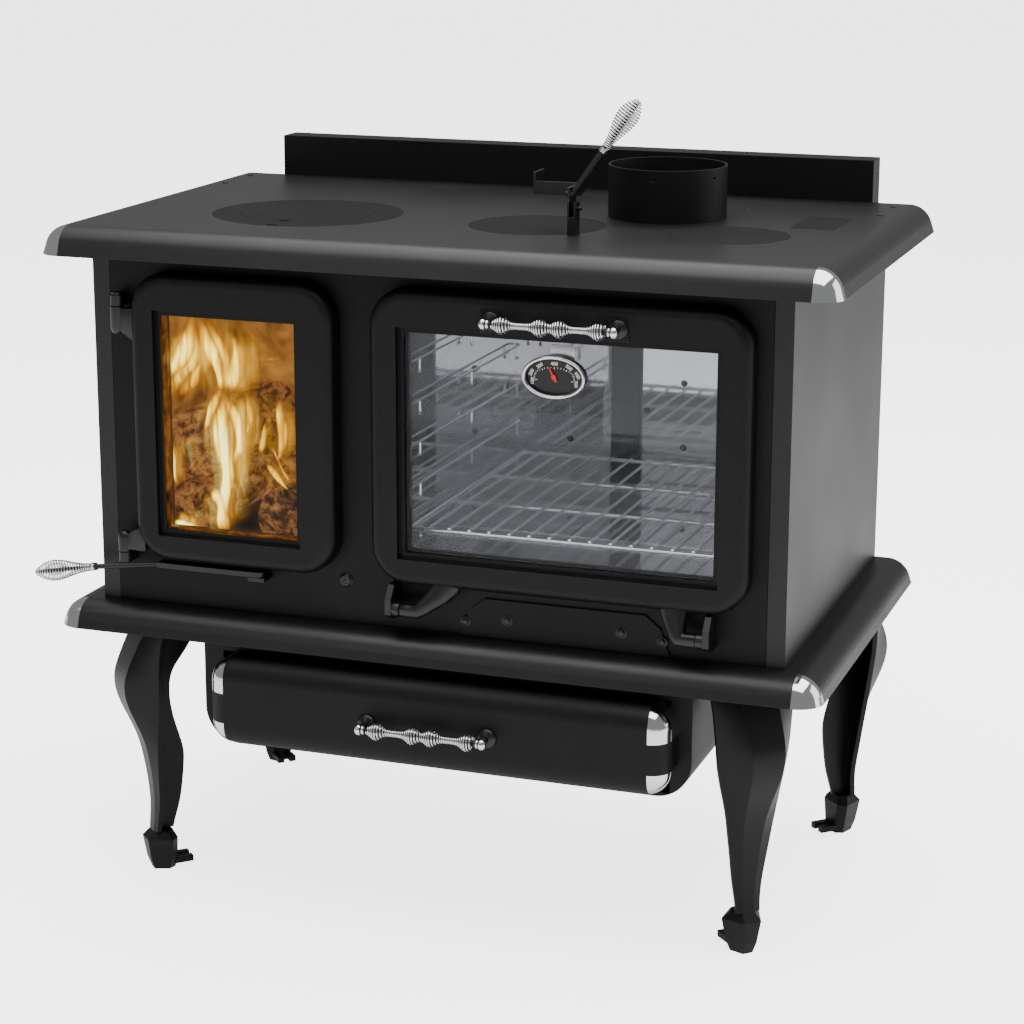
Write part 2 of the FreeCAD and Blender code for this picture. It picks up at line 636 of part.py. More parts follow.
def make_fire_hinges(frame):
    """The fire door's two hinges: lugs on the plate, barrels on the door."""
    x, y, r = mm("fire_hinge_x"), mm("fire_hinge_y"), mm("barrel_radius")
    lugs, barrels, pins = [], [], []
    for lug_low, lug_high, low, high, head in ((768, 781, 738, 767.5, 1), (437, 449.5, 450, 472, -1)):
        eye = disc(x, y, r, lug_low, lug_high).fuse(
            Part.makeBox(2 * r, -y, lug_high - lug_low, Vector(x - r, y, lug_low)))
        lugs.append(eye.cut(disc(x, y, mm("pin_radius"), lug_low - 1, lug_high + 1)))
        bore = mm("pin_radius") + mm("pin_play")
        barrel = disc(x, y, r, low, high)
        door_x = mm("fire_door_left")
        arm = hull_arm([Vector(x, y - 5, low + 3), Vector(x, y - 5, high - 3), Vector(door_x + 4, y - 5, high),
                        Vector(door_x + 4, y - 5, low)], 10, Vector(0, 1, 0))
        barrels.append(barrel.fuse(arm).cut(disc(x, y, bore, low - 1, high + 1)).removeSplitter())
        ends = (low + 2, lug_high) if head > 0 else (lug_low, high - 2)
        pin = disc(x, y, mm("pin_radius"), *ends)
        if head > 0:
            pin = pin.fuse(disc(x, y, 6.2, lug_high, lug_high + 3.6))
        pins.append(pin)
    feature("fire_hinge_barrels", beside(frame, barrels))
    return lugs, pins


def make_oven_hinges(frame):
    """The oven door's two hinges at its foot: brackets on the plate, barrels on arms from the door."""
    y, z, r = mm("oven_hinge_y"), mm("oven_hinge_z"), mm("barrel_radius")
    middle, reach = mm("hinge_middle"), mm("bracket_reach")
    brackets, arms, pins = [], [], []
    for side, foot in ((-1, mm("left_arm_foot")), (1, mm("right_arm_foot"))):
        def at(across, dy=0.0, dz=0.0):
            return Vector(middle + side * across, y + dy, z + dz)

        plate_near, plate_far = reach - 11, reach - 3
        start = min(at(plate_near).x, at(plate_far).x)
        profile = [Vector(start, 0, z + 30), Vector(start, y + 2, z + 30), Vector(start, y - 10, z + 14),
                   Vector(start, y - 10, z - 6), Vector(start, y + 4, z - 14), Vector(start, 0, z - 14)]
        plate = hull_arm(profile, plate_far - plate_near, Vector(1, 0, 0))
        hole = bar(at(plate_near - 2), at(plate_far + 2), mm("pin_radius"))
        brackets.append(plate.cut(hole))
        pin = bar(at(reach - 46.5), at(plate_far), mm("pin_radius"))
        pins.append(pin.fuse(bar(at(plate_near - 9), at(plate_near), 9.5)))
        barrel = bar(at(reach - 50), at(plate_near - 9.4), r)
        door_foot = mm("door_low") + 10
        half = mm("door_round") - 4
        arm = Part.makeLoft([
            Part.makePolygon([at(foot - 18, -half + 3, door_foot - z), at(foot + 18, -half + 3, door_foot - z),
                              at(foot + 18, half, door_foot - z), at(foot - 18, half, door_foot - z),
                              at(foot - 18, -half + 3, door_foot - z)]),
            Part.makePolygon([at(reach - 50, -6), at(reach - 26, -6), at(reach - 26, 6), at(reach - 50, 6),
                              at(reach - 50, -6)]),
        ], True, True)
        bore = bar(at(reach - 47.5), at(reach), mm("pin_radius") + mm("pin_play"))
        arms.append(barrel.fuse(arm).cut(bore).removeSplitter())
    feature("oven_hinge_arms", beside(frame, arms))
    return brackets, pins


# ---- coil handles -----------------------------------------------------------------------------------

# where the bulges of a coil pull are, and half their width, as parts of its length
BULGES = (0.087, 0.428, 0.603, 0.944)
BULGE_SPREAD = 0.068


def coil_profile(half):
    """Radius of the wound wire along a handle: a row of bulges with narrow waists between them."""
    waist, full = mm("waist_radius"), mm("coil_radius")
    steps = 48
    rows = []
    for i in range(steps + 1):
        part = i / steps
        swell = sum(math.exp(-((part - place) / BULGE_SPREAD) ** 2) for place in BULGES)
        rows.append((half * (2 * part - 1), waist + (full - waist) * swell))
    return rows


def spun_sleeve(rows, bore, start, way):
    """A sleeve turned from rows of (distance, radius) about a line."""
    points = [Vector(along, radius, 0) for along, radius in rows]
    curve = Part.BSplineCurve()
    curve.interpolate(points)
    first, last = rows[0][0], rows[-1][0]
    edges = [curve.toShape(), Part.makeLine(points[-1], Vector(last, bore, 0)),
             Part.makeLine(Vector(last, bore, 0), Vector(first, bore, 0)),
             Part.makeLine(Vector(first, bore, 0), points[0])]
    solid = Part.Face(Part.Wire(edges)).revolve(Vector(), Vector(1, 0, 0), 360)
    solid.Placement = Placement(start, Rotation(Vector(1, 0, 0), way))
    return solid


def make_pull(label, x, z, face_y):
    """A coil pull: two posts, a rod with ball ends, and the wound sleeve on the rod."""
    reach = mm("handle_half")
    y = face_y - mm("handle_off")
    rod = bar(Vector(x - reach, y, z), Vector(x + reach, y, z), mm("rod_radius"))
    parts = []
    for side in (-1, 1):
        end = Vector(x + side * reach, y, z)
        parts.append(bar(Vector(end.x, face_y, z), end, 4.4))
        parts.append(Part.makeSphere(mm("ball_radius"), end))
        parts.append(bar(Vector(end.x - side * 8, y, z), end, mm("cup_radius")))
    feature(label, rod.fuse(parts).removeSplitter())
    feature(f"{label}_coil", spun_sleeve(coil_profile(mm("coil_half")), mm("rod_radius"), Vector(x, y, z),
                                         Vector(1, 0, 0)))


def teardrop(start, way, long, radius):
    """The wound grip on the end of a lever, narrow at its collar and round at its tip."""
    rows = []
    steps = 16
    for i in range(steps + 1):
        part = i / steps
        rows.append((long * part, 4.2 + (radius - 4.2) * math.sin(math.pi * part ** 1.35) ** 0.8
                     if 0 < part < 1 else 4.2))
    return spun_sleeve(rows, mm("rod_radius") - 0.4, start, way)


# ---- levers and controls ----------------------------------------------------------------------------

def make_latch_lever():
    """The latch lever below the fire door, which swings out on an upright pin."""
    x, y, z = mm("latch_x"), mm("latch_y"), mm("latch_z")
    half, thick, long = mm("latch_wide") / 2, mm("latch_thick"), mm("latch_long")
    flat = Part.makeBox(long, 2 * half, thick, Vector(x - long, y - half, z - thick / 2))
    eye = disc(x, y, half, z - thick / 2, z + thick / 2)
    pivot = disc(x, y, 4 + mm("pin_play"), z - thick, z + thick)
    elbow = Vector(x - long - 42, y - 10, z - 4)
    collar = Vector(-447, -33, 429)
    tip = Vector(1.07 - mm("grip_reach"), -50, 419)
    rods = [bar(Vector(x - long + 8, y, z), elbow, 3.4), Part.makeSphere(3.4, elbow), bar(elbow, collar, 3.4)]
    lever = flat.fuse([eye] + rods).cut(pivot)
    way = tip - collar
    stem = bar(collar, collar + way * 0.9, 2.7)
    feature("latch_lever", lever.fuse([bar(collar - way * 0.06, collar + way * 0.02, 5), stem]).removeSplitter())
    unit = Vector(way).normalize()
    feature("latch_grip", teardrop(collar + way * 0.03, unit, way.Length * 0.97, mm("grip_radius")))
    bracket = Part.makeBox(22, -y + 9, 5, Vector(x - 11, y - 9, z - thick / 2 - 5.4))
    pin = disc(x, y, 4, z - thick / 2 - 5.4, z + thick / 2 + 0.6)
    return bracket.fuse(pin)


def make_damper():
    """The flue damper: post, lever with its cranked link, wound grip, and the flap under the cooktop."""
    x, py, pz = mm("damper_x"), mm("pivot_y"), mm("pivot_z")
    top = mm("top_level")
    post = Part.makeBox(10.6, 17, pz - top + 8, Vector(x - 5.3, mm("post_y"), top))
    fork = Part.makeBox(5.8, 30, 40, Vector(x - 2.9, mm("post_y") - 5, pz - 10))
    feature("damper_post", post.cut(fork).fuse(bar(Vector(x - 8, py, pz), Vector(x + 10, py, pz), 2.4)))
    root, long, grip_long = mm("root_long"), mm("lever_long"), mm("grip_long")
    upright = Rotation(Vector(1, 0, 0), mm("root_lean"))
    leaning = Rotation(Vector(0, 0, 1), mm("lever_turn")).multiply(Rotation(Vector(1, 0, 0), mm("lever_lean")))
    pivot = Vector(x, py, pz)
    elbow = pivot + upright.multVec(Vector(0, root, 0))
    way = leaning.multVec(Vector(0, 1, 0))
    tip = elbow + way * long
    grip_start = tip - way * grip_long
    blade = Part.makeBox(5, root + 10, 9, Vector(-2.5, -8, -4.5))
    blade.Placement = Placement(pivot, upright)
    link = [Part.makeBox(3.5, 60, 13, Vector(x - 5.5, 120, 909)), Part.makeBox(59, 3, 16, Vector(x - 62, 168, 906)),
            Part.makeBox(3, 34, 27, Vector(x - 65, 168, 906))]
    bolt = bar(Vector(x - 8.5, 127, 914), Vector(x + 5, 127, 914), 3.4)
    rods = [bar(elbow - way * 3, grip_start, 4.2), bar(grip_start - way, tip - way * 4, 2.7)]
    pin_hole = bar(Vector(x - 6, py, pz), Vector(x + 8, py, pz), 2.4 + mm("pin_play"))
    feature("damper_lever", blade.fuse(link + rods + [bolt]).cut(pin_hole).removeSplitter())
    feature("damper_grip", teardrop(grip_start, way, grip_long, mm("grip_radius")))
    flap = Part.makeBox(150, 2.5, 44, Vector(mm("collar_x") - 75, 238, 803))
    feature("damper_flap", flap.fuse(bar(Vector(mm("collar_x") - 80, 239.2, 847), Vector(mm("collar_x") + 80,
                                                                                      239.2, 847), 3)))


def make_gauge():
    """The oven thermometer: an oval case on the glass, with a turning needle."""
    x, z = mm("gauge_x"), mm("gauge_z")
    wide, high, deep = mm("gauge_half_wide"), mm("gauge_half_high"), mm("gauge_deep")
    glass_front = -(mm("door_deep") - mm("rebate_deep") - mm("lip_thick"))

    def oval(inset, near, far):
        ring = Part.Ellipse(Vector(x, near, z), wide - inset, high - inset).toShape()
        ring.rotate(Vector(x, near, z), Vector(1, 0, 0), 90)
        return Part.Face(Part.Wire([ring])).extrude(Vector(0, far - near, 0))

    front = glass_front - deep
    case = oval(0, front, glass_front).cut([oval(5, front - 1, front + 4),
                                            bar(Vector(x, front, z), Vector(x, front + 7, z), 1.5)])
    feature("thermometer_case", case)
    hub = bar(Vector(x, front + 2.2, z), Vector(x, front + 6, z), 1.45)
    boss = bar(Vector(x, front + 1.2, z), Vector(x, front + 2.9, z), 3)
    pointer = hull_arm([Vector(x - 1.6, front + 1.6, z - 6), Vector(x + 1.6, front + 1.6, z - 6),
                        Vector(x + 0.5, front + 1.6, z + 14), Vector(x - 0.5, front + 1.6, z + 14)], 1.2,
                       Vector(0, 1, 0))
    pointer.rotate(Vector(x, 0, z), Vector(0, 1, 0), -28)
    feature("thermometer_needle", hub.fuse([boss, pointer]).removeSplitter())


# ---- ash drawer -------------------------------------------------------------------------------------

def housing_face(shrink):
    """The housing's outline at the front: square above, rounded below."""
    middle, half, low = mm("drawer_middle"), mm("housing_half") - shrink, mm("housing_low") + shrink
    top = mm("tray_level") - mm("tray_thick")
    r = mm("housing_round") - shrink
    y = -mm("housing_front")
    c = r * math.sqrt(0.5)
    left, right = middle - half, middle + half

    def p(x, z):
        return Vector(x, y, z)

    edges = [Part.makeLine(p(left, top), p(left, low + r)),
             Part.Arc(p(left, low + r), p(left + r - c, low + r - c), p(left + r, low)).toShape(),
             Part.makeLine(p(left + r, low), p(right - r, low)),
             Part.Arc(p(right - r, low), p(right - r + c, low + r - c), p(right, low + r)).toShape(),
             Part.makeLine(p(right, low + r), p(right, top)), Part.makeLine(p(right, top), p(left, top))]
    return Part.Face(Part.Wire(edges))


def make_housing():
    """The drawer housing under the tray, with a face flange and a slot for the air slide."""
    long = mm("housing_back") + mm("housing_front")
    outer = housing_face(0).extrude(Vector(0, long, 0))
    inner = housing_face(4).extrude(Vector(0, long - 8, 0))
    inner.translate(Vector(0, 4, 0))
    middle = mm("drawer_middle")
    mouth = Part.makeBox(592, 20, 118, Vector(middle - 296, -mm("housing_front") - 5, 211))
    slot = Part.makeBox(68, 20, 7, Vector(mm("air_x") - 5, -mm("housing_front") - 5, mm("air_z") - 3.5))
    feature("drawer_housing", outer.cut([inner, mouth, slot]))


def pillow():
    """The drawer front's rounded block."""
    middle, half = mm("front_middle"), mm("drawer_half")
    low, high, nose = mm("drawer_low"), mm("drawer_high"), mm("drawer_nose")
    back = -mm("housing_front") - 0.4
    block = Part.makeBox(2 * half, nose + back, high - low, Vector(middle - half, -nose, low))
    sides = [e for e in block.Edges if abs(e.BoundBox.YLength - (nose + back)) < 1e-3 and e.BoundBox.XLength < 1]
    block = block.makeFillet(mm("drawer_round") + 4, sides)
    rim = [e for e in block.Edges if abs(e.BoundBox.YMax + nose) < 1e-3]
    return block.makeFillet(mm("drawer_round"), rim)


def make_drawer():
    """The ash drawer: pan, rounded front with four chrome corners, and its pull."""
    middle, half = mm("drawer_middle"), 272.0
    back = -mm("housing_front") - 0.4
    pan = Part.makeBox(2 * half, 390, 108, Vector(middle - half, back, 213))
    hollow = Part.makeBox(2 * half - 4, 386, 108, Vector(middle - half + 2, back + 2, 215))
    feature("drawer_pan", pan.cut(hollow))
    whole = pillow()
    wide, low_tall, high_tall = 25.0, 32.0, 44.0
    low, high, reach, centre = mm("drawer_low"), mm("drawer_high"), mm("drawer_half"), mm("front_middle")
    zones = []
    for x in (centre - reach - 1, centre + reach + 1 - wide):
        for z, tall in ((low - 1, low_tall), (high + 1 - high_tall, high_tall)):
            zones.append(Part.makeBox(wide, 80, tall, Vector(x, -80, z)))
    caps = [whole.common(zone) for zone in zones]
    feature("drawer_front", whole.cut(zones))
    feature("drawer_corners", Part.makeCompound([c.Solids[0] for c in caps]))
    make_pull("drawer_handle", middle, mm("drawer_handle_z"), -mm("drawer_nose"))


def make_air_slide():
    """The air slide: a small knob on a stem, with its plate behind the housing's face."""
    x, z, face = mm("air_x"), mm("air_z"), -mm("housing_front")
    stem = bar(Vector(x, face + 6, z), Vector(x, face - 13, z), 2.4)
    knob = Part.makeSphere(6.8, Vector(x, face - 16, z))
    shutter = Part.makeBox(36, 2, 16, Vector(x - 18, face + 4.4, z - 8))
    feature("air_knob", knob.fuse([stem, shutter]).removeSplitter())


# ---- cleanout and small fittings --------------------------------------------------------------------

def make_cleanout():
    """The cleanout cover under the oven door."""
    owner = body("cleanout_cover", ("oven_middle + 7 - 134", "0", "tray_level + 0.4"))
    drawing = sketch(owner, "cover_outline")
    outline(drawing, [("0", "0"), ("268", "0"), ("256", "34"), ("236", "50"), ("32", "50"), ("12", "34")])
    pad(owner, drawing, "cover_sheet", "3")


def make_buttons():
    """Bolts and buttons on the front: two cover bolts, two cover buttons and two on the plate."""
    shapes = []
    for x, z, radius, face in ((48.8, 399, 4.6, 3), (300, 399, 4.6, 3), (103, 405, 5.2, 3), (248.6, 405, 5.2, 3),
                               (-110.8, 435.5, 7.2, 0)):
        head = bar(Vector(x, -face - 3.4, z), Vector(x, -face, z), radius)
        shapes.append(head.makeFillet(1.5, [e for e in head.Edges if abs(e.BoundBox.YMax + face + 3.4) < 1e-3]))
    feature("front_buttons", Part.makeCompound(shapes))


def main():
    """Builds every piece, checks it and writes one STEP file for each."""
    make_front_plate()
    make_side_panels()
    make_back_and_bottom()
    make_cooktop()
    make_burner()
    make_tray()
    make_collar()
    make_heat_shield()
    make_legs()
    make_firebox()
    make_oven()
    fire_lugs, fire_pins = make_fire_hinges(make_door("fire"))
    oven_brackets, oven_pins = make_oven_hinges(make_door("oven"))
    latch_bracket = make_latch_lever()
    feature("hinge_brackets", Part.makeCompound(fire_lugs + oven_brackets + [latch_bracket]))
    feature("hinge_pins", Part.makeCompound(fire_pins + oven_pins))
    make_pull("oven_handle", mm("oven_middle"), mm("oven_handle_z"), -mm("door_deep"))
    make_gauge()
    make_damper()
    make_housing()
    make_drawer()
    make_air_slide()
    make_cleanout()
    make_buttons()
    DOC.recompute()
    for item in DOC.Objects:
        bad = [state for state in item.State if state in ("Invalid", "Error")]
        if bad:
            raise RuntimeError(f"{item.Label}: {bad}")
    for item in NODES:
        if item.Shape.isNull() or not item.Shape.isValid() or not item.Shape.Solids:
            raise RuntimeError(f"{item.Label}: shape is not a valid solid")
    os.makedirs("parts", exist_ok=True)
    for item in NODES:
        item.Shape.exportStep(f"parts/{item.Label}.step")
    print(len(NODES), "nodes written")


main()
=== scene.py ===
"""A wood burning cookstove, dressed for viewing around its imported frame.

Sizes are millimetres in the stove's own drawing: X to the right from the middle of the body, Y to the
back from the body's front face, Z up from the floor. at() turns them into the frame's metres.
"""
import logging
import math
import random
from dataclasses import dataclass, field
from enum import Enum
from typing import Callable, Optional, Sequence

import bmesh
import bpy
from mathutils import Matrix, Vector


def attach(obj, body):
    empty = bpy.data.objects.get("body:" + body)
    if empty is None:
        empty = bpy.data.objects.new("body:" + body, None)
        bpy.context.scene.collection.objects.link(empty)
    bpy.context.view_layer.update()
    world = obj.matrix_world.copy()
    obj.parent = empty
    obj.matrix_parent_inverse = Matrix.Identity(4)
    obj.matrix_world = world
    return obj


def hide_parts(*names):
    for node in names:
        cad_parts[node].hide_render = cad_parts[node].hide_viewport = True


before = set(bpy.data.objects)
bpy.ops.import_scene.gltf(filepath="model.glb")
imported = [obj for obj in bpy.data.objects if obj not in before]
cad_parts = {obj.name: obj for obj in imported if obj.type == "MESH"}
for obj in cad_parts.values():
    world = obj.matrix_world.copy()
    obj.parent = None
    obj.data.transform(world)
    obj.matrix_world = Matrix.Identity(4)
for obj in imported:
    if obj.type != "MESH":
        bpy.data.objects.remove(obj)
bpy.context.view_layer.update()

LOG = logging.getLogger("stove")
MM = 0.001
# where the frame's origin lies in the stove's drawing
ORIGIN_X, ORIGIN_Y = -6.035, 241.85
RIGHT, BACK, UP = Vector((1, 0, 0)), Vector((0, 1, 0)), Vector((0, 0, 1))
FRONT = -BACK

Row = tuple[float, float]
Face = tuple[int, ...]


def at(x: float, y: float, z: float) -> Vector:
    """Places a point of the stove's drawing in the frame.

    Args:
        x: millimetres to the right of the body's middle.
        y: millimetres behind the body's front face.
        z: millimetres above the floor.

    Returns:
        The point in metres.
    """
    return Vector(((x - ORIGIN_X) * MM, (y - ORIGIN_Y) * MM, z * MM))


def linear(colour: str) -> tuple[float, float, float, float]:
    """Turns an sRGB hex colour into the linear one that shaders take.

    Args:
        colour: six hex digits with a leading hash.

    Returns:
        Red, green, blue and an alpha of one.
    """
    parts = [int(colour[i:i + 2], 16) / 255 for i in (1, 3, 5)]
    red, green, blue = [c / 12.92 if c <= 0.04045 else ((c + 0.055) / 1.055) ** 2.4 for c in parts]
    return red, green, blue, 1.0


def per_metre(size_mm: float) -> float:
    """The texture scale whose cells are a given number of millimetres across."""
    return 1000.0 / size_mm


def add(tree: bpy.types.NodeTree, kind: str, settings: Optional[dict] = None,
        links: Optional[dict] = None) -> bpy.types.Node:
    """Adds one node to a material's tree.

    Args:
        tree: the material's node tree.
        kind: the node's type name.
        settings: values for its inputs, by socket name or number, or for its own properties.
        links: the output to join to each input.

    Returns:
        The new node.
    """
    node = tree.nodes.new(kind)
    for key, value in (settings or {}).items():
        if isinstance(key, int) or key in node.inputs.keys():
            node.inputs[key].default_value = value
        else:
            setattr(node, key, value)
    for key, source in (links or {}).items():
        tree.links.new(source, node.inputs[key])
    return node


# ---- finishes -----------------------------------------------------------------------------------------

# the part of a noise's range that nearly all of it lies in
NOISE_SPAN = (0.3, 0.7)


@dataclass
class Paintwork:
    """A material's tree and shader, with the groups of nodes that the finishes share."""

    tree: bpy.types.NodeTree
    shader: bpy.types.Node

    def fix(self, values: dict[str, object]) -> None:
        """Gives the shader's inputs fixed values, with a hex colour turned into a linear one."""
        for name, value in values.items():
            self.shader.inputs[name].default_value = linear(value) if isinstance(value, str) else value

    def join(self, source: bpy.types.NodeSocket, *names: str) -> None:
        """Joins an output to some of the shader's inputs."""
        for name in names:
            self.tree.links.new(source, self.shader.inputs[name])

    def noise(self, size_mm: float, detail: float = 2.0, rough: float = 0.5, bend: float = 0.0,
              stretch: tuple[float, float, float] = (1.0, 1.0, 1.0)) -> bpy.types.NodeSocket:
        """Noise that stays with the object.

        Args:
            size_mm: how far across its cells are.
            detail: how many finer layers it has.
            rough: how strong the finer layers are.
            bend: how far it is distorted.
            stretch: the scale along each axis; less than one draws it out.

        Returns:
            The noise's value.
        """
        place = add(self.tree, "ShaderNodeTexCoord").outputs["Object"]
        drawn = add(self.tree, "ShaderNodeMapping", {"Scale": stretch}, {"Vector": place}).outputs["Vector"]
        return add(self.tree, "ShaderNodeTexNoise", {"Scale": per_metre(size_mm), "Detail": detail,
                                                     "Roughness": rough, "Distortion": bend},
                   {"Vector": drawn}).outputs["Fac"]

    def span(self, source: bpy.types.NodeSocket, given: Row, wanted: Row) -> bpy.types.NodeSocket:
        """Maps one range of values onto another and holds its ends."""
        return add(self.tree, "ShaderNodeMapRange",
                   {"From Min": given[0], "From Max": given[1], "To Min": wanted[0], "To Max": wanted[1]},
                   {"Value": source}).outputs["Result"]

    def blend(self, source: bpy.types.NodeSocket, share: float, base: bpy.types.NodeSocket) -> bpy.types.NodeSocket:
        """A share of one value added to another."""
        return add(self.tree, "ShaderNodeMath", {"operation": "MULTIPLY_ADD", 1: share},
                   {0: source, 2: base}).outputs["Value"]

    def tint(self, source: bpy.types.NodeSocket, stops: Sequence[tuple[float, str]]) -> bpy.types.NodeSocket:
        """Turns a value into a colour.

        Args:
            source: the value.
            stops: the place and the hex colour of each stop, in order.

        Returns:
            The colour.
        """
        node = add(self.tree, "ShaderNodeValToRGB", links={"Fac": source})
        elements = node.color_ramp.elements
        while len(elements) < len(stops):
            elements.new(0.5)
        for element, (place, colour) in zip(elements, stops):
            element.position = place
            element.color = linear(colour)
        return node.outputs["Color"]

    def emboss(self, source: bpy.types.NodeSocket, strength: float, depth_mm: float,
               normal: Optional[bpy.types.NodeSocket] = None) -> None:
        """Gives the surface relief from a height.

        Args:
            source: the height.
            strength: how much of it shows.
            depth_mm: how deep it is.
            normal: the surface that it lies on, where that isn't the mesh's own.
        """
        links = {"Height": source, "Normal": normal} if normal else {"Height": source}
        bump = add(self.tree, "ShaderNodeBump", {"Strength": strength, "Distance": depth_mm * MM}, links)
        self.join(bump.outputs["Normal"], "Normal")


@dataclass(frozen=True)
class Finish:
    """What every finish has: a name and one principled shader that its own method dresses."""

    name: str

    def material(self) -> bpy.types.Material:
        """Makes the material once and gives the same one afterwards."""
        found = bpy.data.materials.get(self.name)
        if found is not None:
            return found
        made = bpy.data.materials.new(self.name)
        made.use_nodes = True
        tree = made.node_tree
        tree.nodes.clear()
        shader = add(tree, "ShaderNodeBsdfPrincipled")
        add(tree, "ShaderNodeOutputMaterial", links={"Surface": shader.outputs[0]})
        self.dress(Paintwork(tree, shader))
        return made

    def dress(self, work: Paintwork) -> None:
        """Sets the shader up; each finish has its own way."""
        raise NotImplementedError


@dataclass(frozen=True)
class SprayedPaint(Finish):
    """High temperature stove paint: sprayed, dull, with the fine grain of its dry pigment."""

    dark: str = "#070708"
    light: str = "#101011"
    rough_low: float = 0.46
    rough_high: float = 0.54
    gloss: float = 0.18
    grain_mm: float = 1.9
    relief: float = 0.10
    edge_mm: float = 1.0
    patch_mm: float = 140.0
    grain_deep_mm: float = 0.3

    def dress(self, work: Paintwork) -> None:
        """Grain in colour and height, wide soft patches in roughness, and eased edges."""
        work.fix({"Specular IOR Level": self.gloss})
        grain = work.noise(self.grain_mm, 3.0, 0.6)
        work.join(work.tint(grain, [(0.32, self.dark), (0.70, self.light)]), "Base Color")
        patch = work.noise(self.patch_mm)
        work.join(work.span(patch, NOISE_SPAN, (self.rough_low, self.rough_high)), "Roughness")
        eased = add(work.tree, "ShaderNodeBevel", {"samples": 4, "Radius": self.edge_mm * MM})
        work.emboss(grain, self.relief, self.grain_deep_mm, eased.outputs["Normal"])


@dataclass(frozen=True)
class PolishedMetal(Finish):
    """Plated or polished metal: the colour of its reflections, how sharp they are, and a grey glow of its own that
    paints light onto it where its power is set.
    """

    colour: str = "#d9dadc"
    rough_low: float = 0.06
    rough_high: float = 0.12
    brush_mm: float = 30.0
    stretch: tuple[float, float, float] = (1.0, 1.0, 1.0)
    # painted light: a grey emission and its strength, brightening the metal as if more light reached it
    lift: str = "#6b6c70"
    painted_glow_power: float = 0.0

    def dress(self, work: Paintwork) -> None:
        """A metal whose haze changes a little from place to place, brightened where set by a grey emission as painted
        light.
        """
        work.fix({"Metallic": 1.0, "Base Color": self.colour, "Emission Color": self.lift,
                  "Emission Strength": self.painted_glow_power})
        haze = work.noise(self.brush_mm, 3.0, stretch=self.stretch)
        work.join(work.span(haze, NOISE_SPAN, (self.rough_low, self.rough_high)), "Roughness")


@dataclass(frozen=True)
class DrawnGlass(Finish):
    """Flat heat-proof glass: clear, with faint mirror reflections."""

    tint: str = "#eef1f1"
    alpha: float = 0.22
    ior: float = 1.5

    def dress(self, work: Paintwork) -> None:
        """Glass that also lets light straight through; a trace of haze from handling."""
        work.fix({"Base Color": self.tint, "Transmission Weight": 1.0, "IOR": self.ior, "Alpha": self.alpha})
        work.join(work.span(work.noise(90.0), (0.4, 0.8), (0.0, 0.03)), "Roughness")


@dataclass(frozen=True)
class PressedMineral(Finish):
    """Fired brick, pressed board or woven rope: matt, mottled and pitted."""

    dark: str = "#6a4a2c"
    light: str = "#a97c4c"
    speck_mm: float = 6.0
    relief: float = 0.6
    stretch: tuple[float, float, float] = (1.0, 1.0, 1.0)

    def dress(self, work: Paintwork) -> None:
        """Mottled colour over pits of the same size."""
        work.fix({"Roughness": 0.9, "Specular IOR Level": 0.2})
        speck = work.noise(self.speck_mm, 5.0, 0.65, stretch=self.stretch)
        work.join(work.tint(speck, [(0.3, self.dark), (0.72, self.light)]), "Base Color")
        work.emboss(speck, self.relief, 1.0)


@dataclass(frozen=True)
class CharredBark(Finish):
    """Burning bark: ragged scales about 20 mm across, drawn out along the log, lit by the fire round them."""

    soot: str = "#160a05"
    char: str = "#3c200c"
    plate: str = "#8a5524"
    ash: str = "#b88a4a"
    plate_mm: float = 20.0
    fibre_mm: float = 3.0
    glow_power: float = 0.55

    def dress(self, work: Paintwork) -> None:
        """Dark hollows between the scales, and a little light of their own."""
        work.fix({"Roughness": 0.85, "Emission Strength": self.glow_power})
        scales = work.noise(self.plate_mm, 8.0, 0.68, 0.8, (1.0, 0.45, 1.0))
        rough = work.blend(work.noise(self.fibre_mm, 4.0), 0.25, scales)
        stops = [(0.5, self.soot), (0.57, self.char), (0.64, self.plate), (0.8, self.ash)]
        work.join(work.tint(rough, stops), "Base Color", "Emission Color")
        work.emboss(rough, 0.9, 3.0)


@dataclass(frozen=True)
class Flame(Finish):
    """Burning wood gas: it shines by itself, pale yellow in its core and orange where it thins out."""

    power: float = 4.0
    thin: str = "#a04c0c"
    middle: str = "#e89a14"
    hot: str = "#ffd42a"
    core: str = "#fff290"
    wisp_mm: float = 8.0

    def dress(self, work: Paintwork) -> None:
        """Each point keeps its own warmth; wisps stretched upwards break it up."""
        work.fix({"Roughness": 1.0, "Specular IOR Level": 0.0, "Base Color": "#000000"})
        warmth = add(work.tree, "ShaderNodeAttribute", {"attribute_name": "warmth"}).outputs["Fac"]
        wisp = work.noise(self.wisp_mm, 3.0, bend=0.35, stretch=(1.0, 0.3, 0.09))
        lifted = work.span(wisp, (0.32, 0.64), (0.5, 1.12))
        burn = add(work.tree, "ShaderNodeMath", {"operation": "MULTIPLY"}, {0: warmth, 1: lifted}).outputs["Value"]
        stops = [(0.12, self.thin), (0.4, self.middle), (0.72, self.hot), (0.98, self.core)]
        work.join(work.tint(burn, stops), "Emission Color")
        work.join(work.span(burn, (0.1, 1.0), (0.8, self.power)), "Emission Strength")
        work.join(work.span(burn, (0.08, 0.72), (0.0, 0.9)), "Alpha")


@dataclass(frozen=True)
class Glow(Finish):
    """Air full of fire behind the flames: brown and orange clouds that shine softly."""

    low: str = "#5a3414"
    middle: str = "#8f6026"
    high: str = "#bc8438"
    power: float = 0.8
    cloud_mm: float = 60.0

    def dress(self, work: Paintwork) -> None:
        """Soft clouds of their own light."""
        work.fix({"Roughness": 1.0, "Specular IOR Level": 0.0, "Emission Strength": self.power})
        cloud = work.noise(self.cloud_mm, 6.0, 0.62, 0.9)
        stops = [(0.36, self.low), (0.5, self.middle), (0.66, self.high)]
        work.join(work.tint(cloud, stops), "Base Color", "Emission Color")


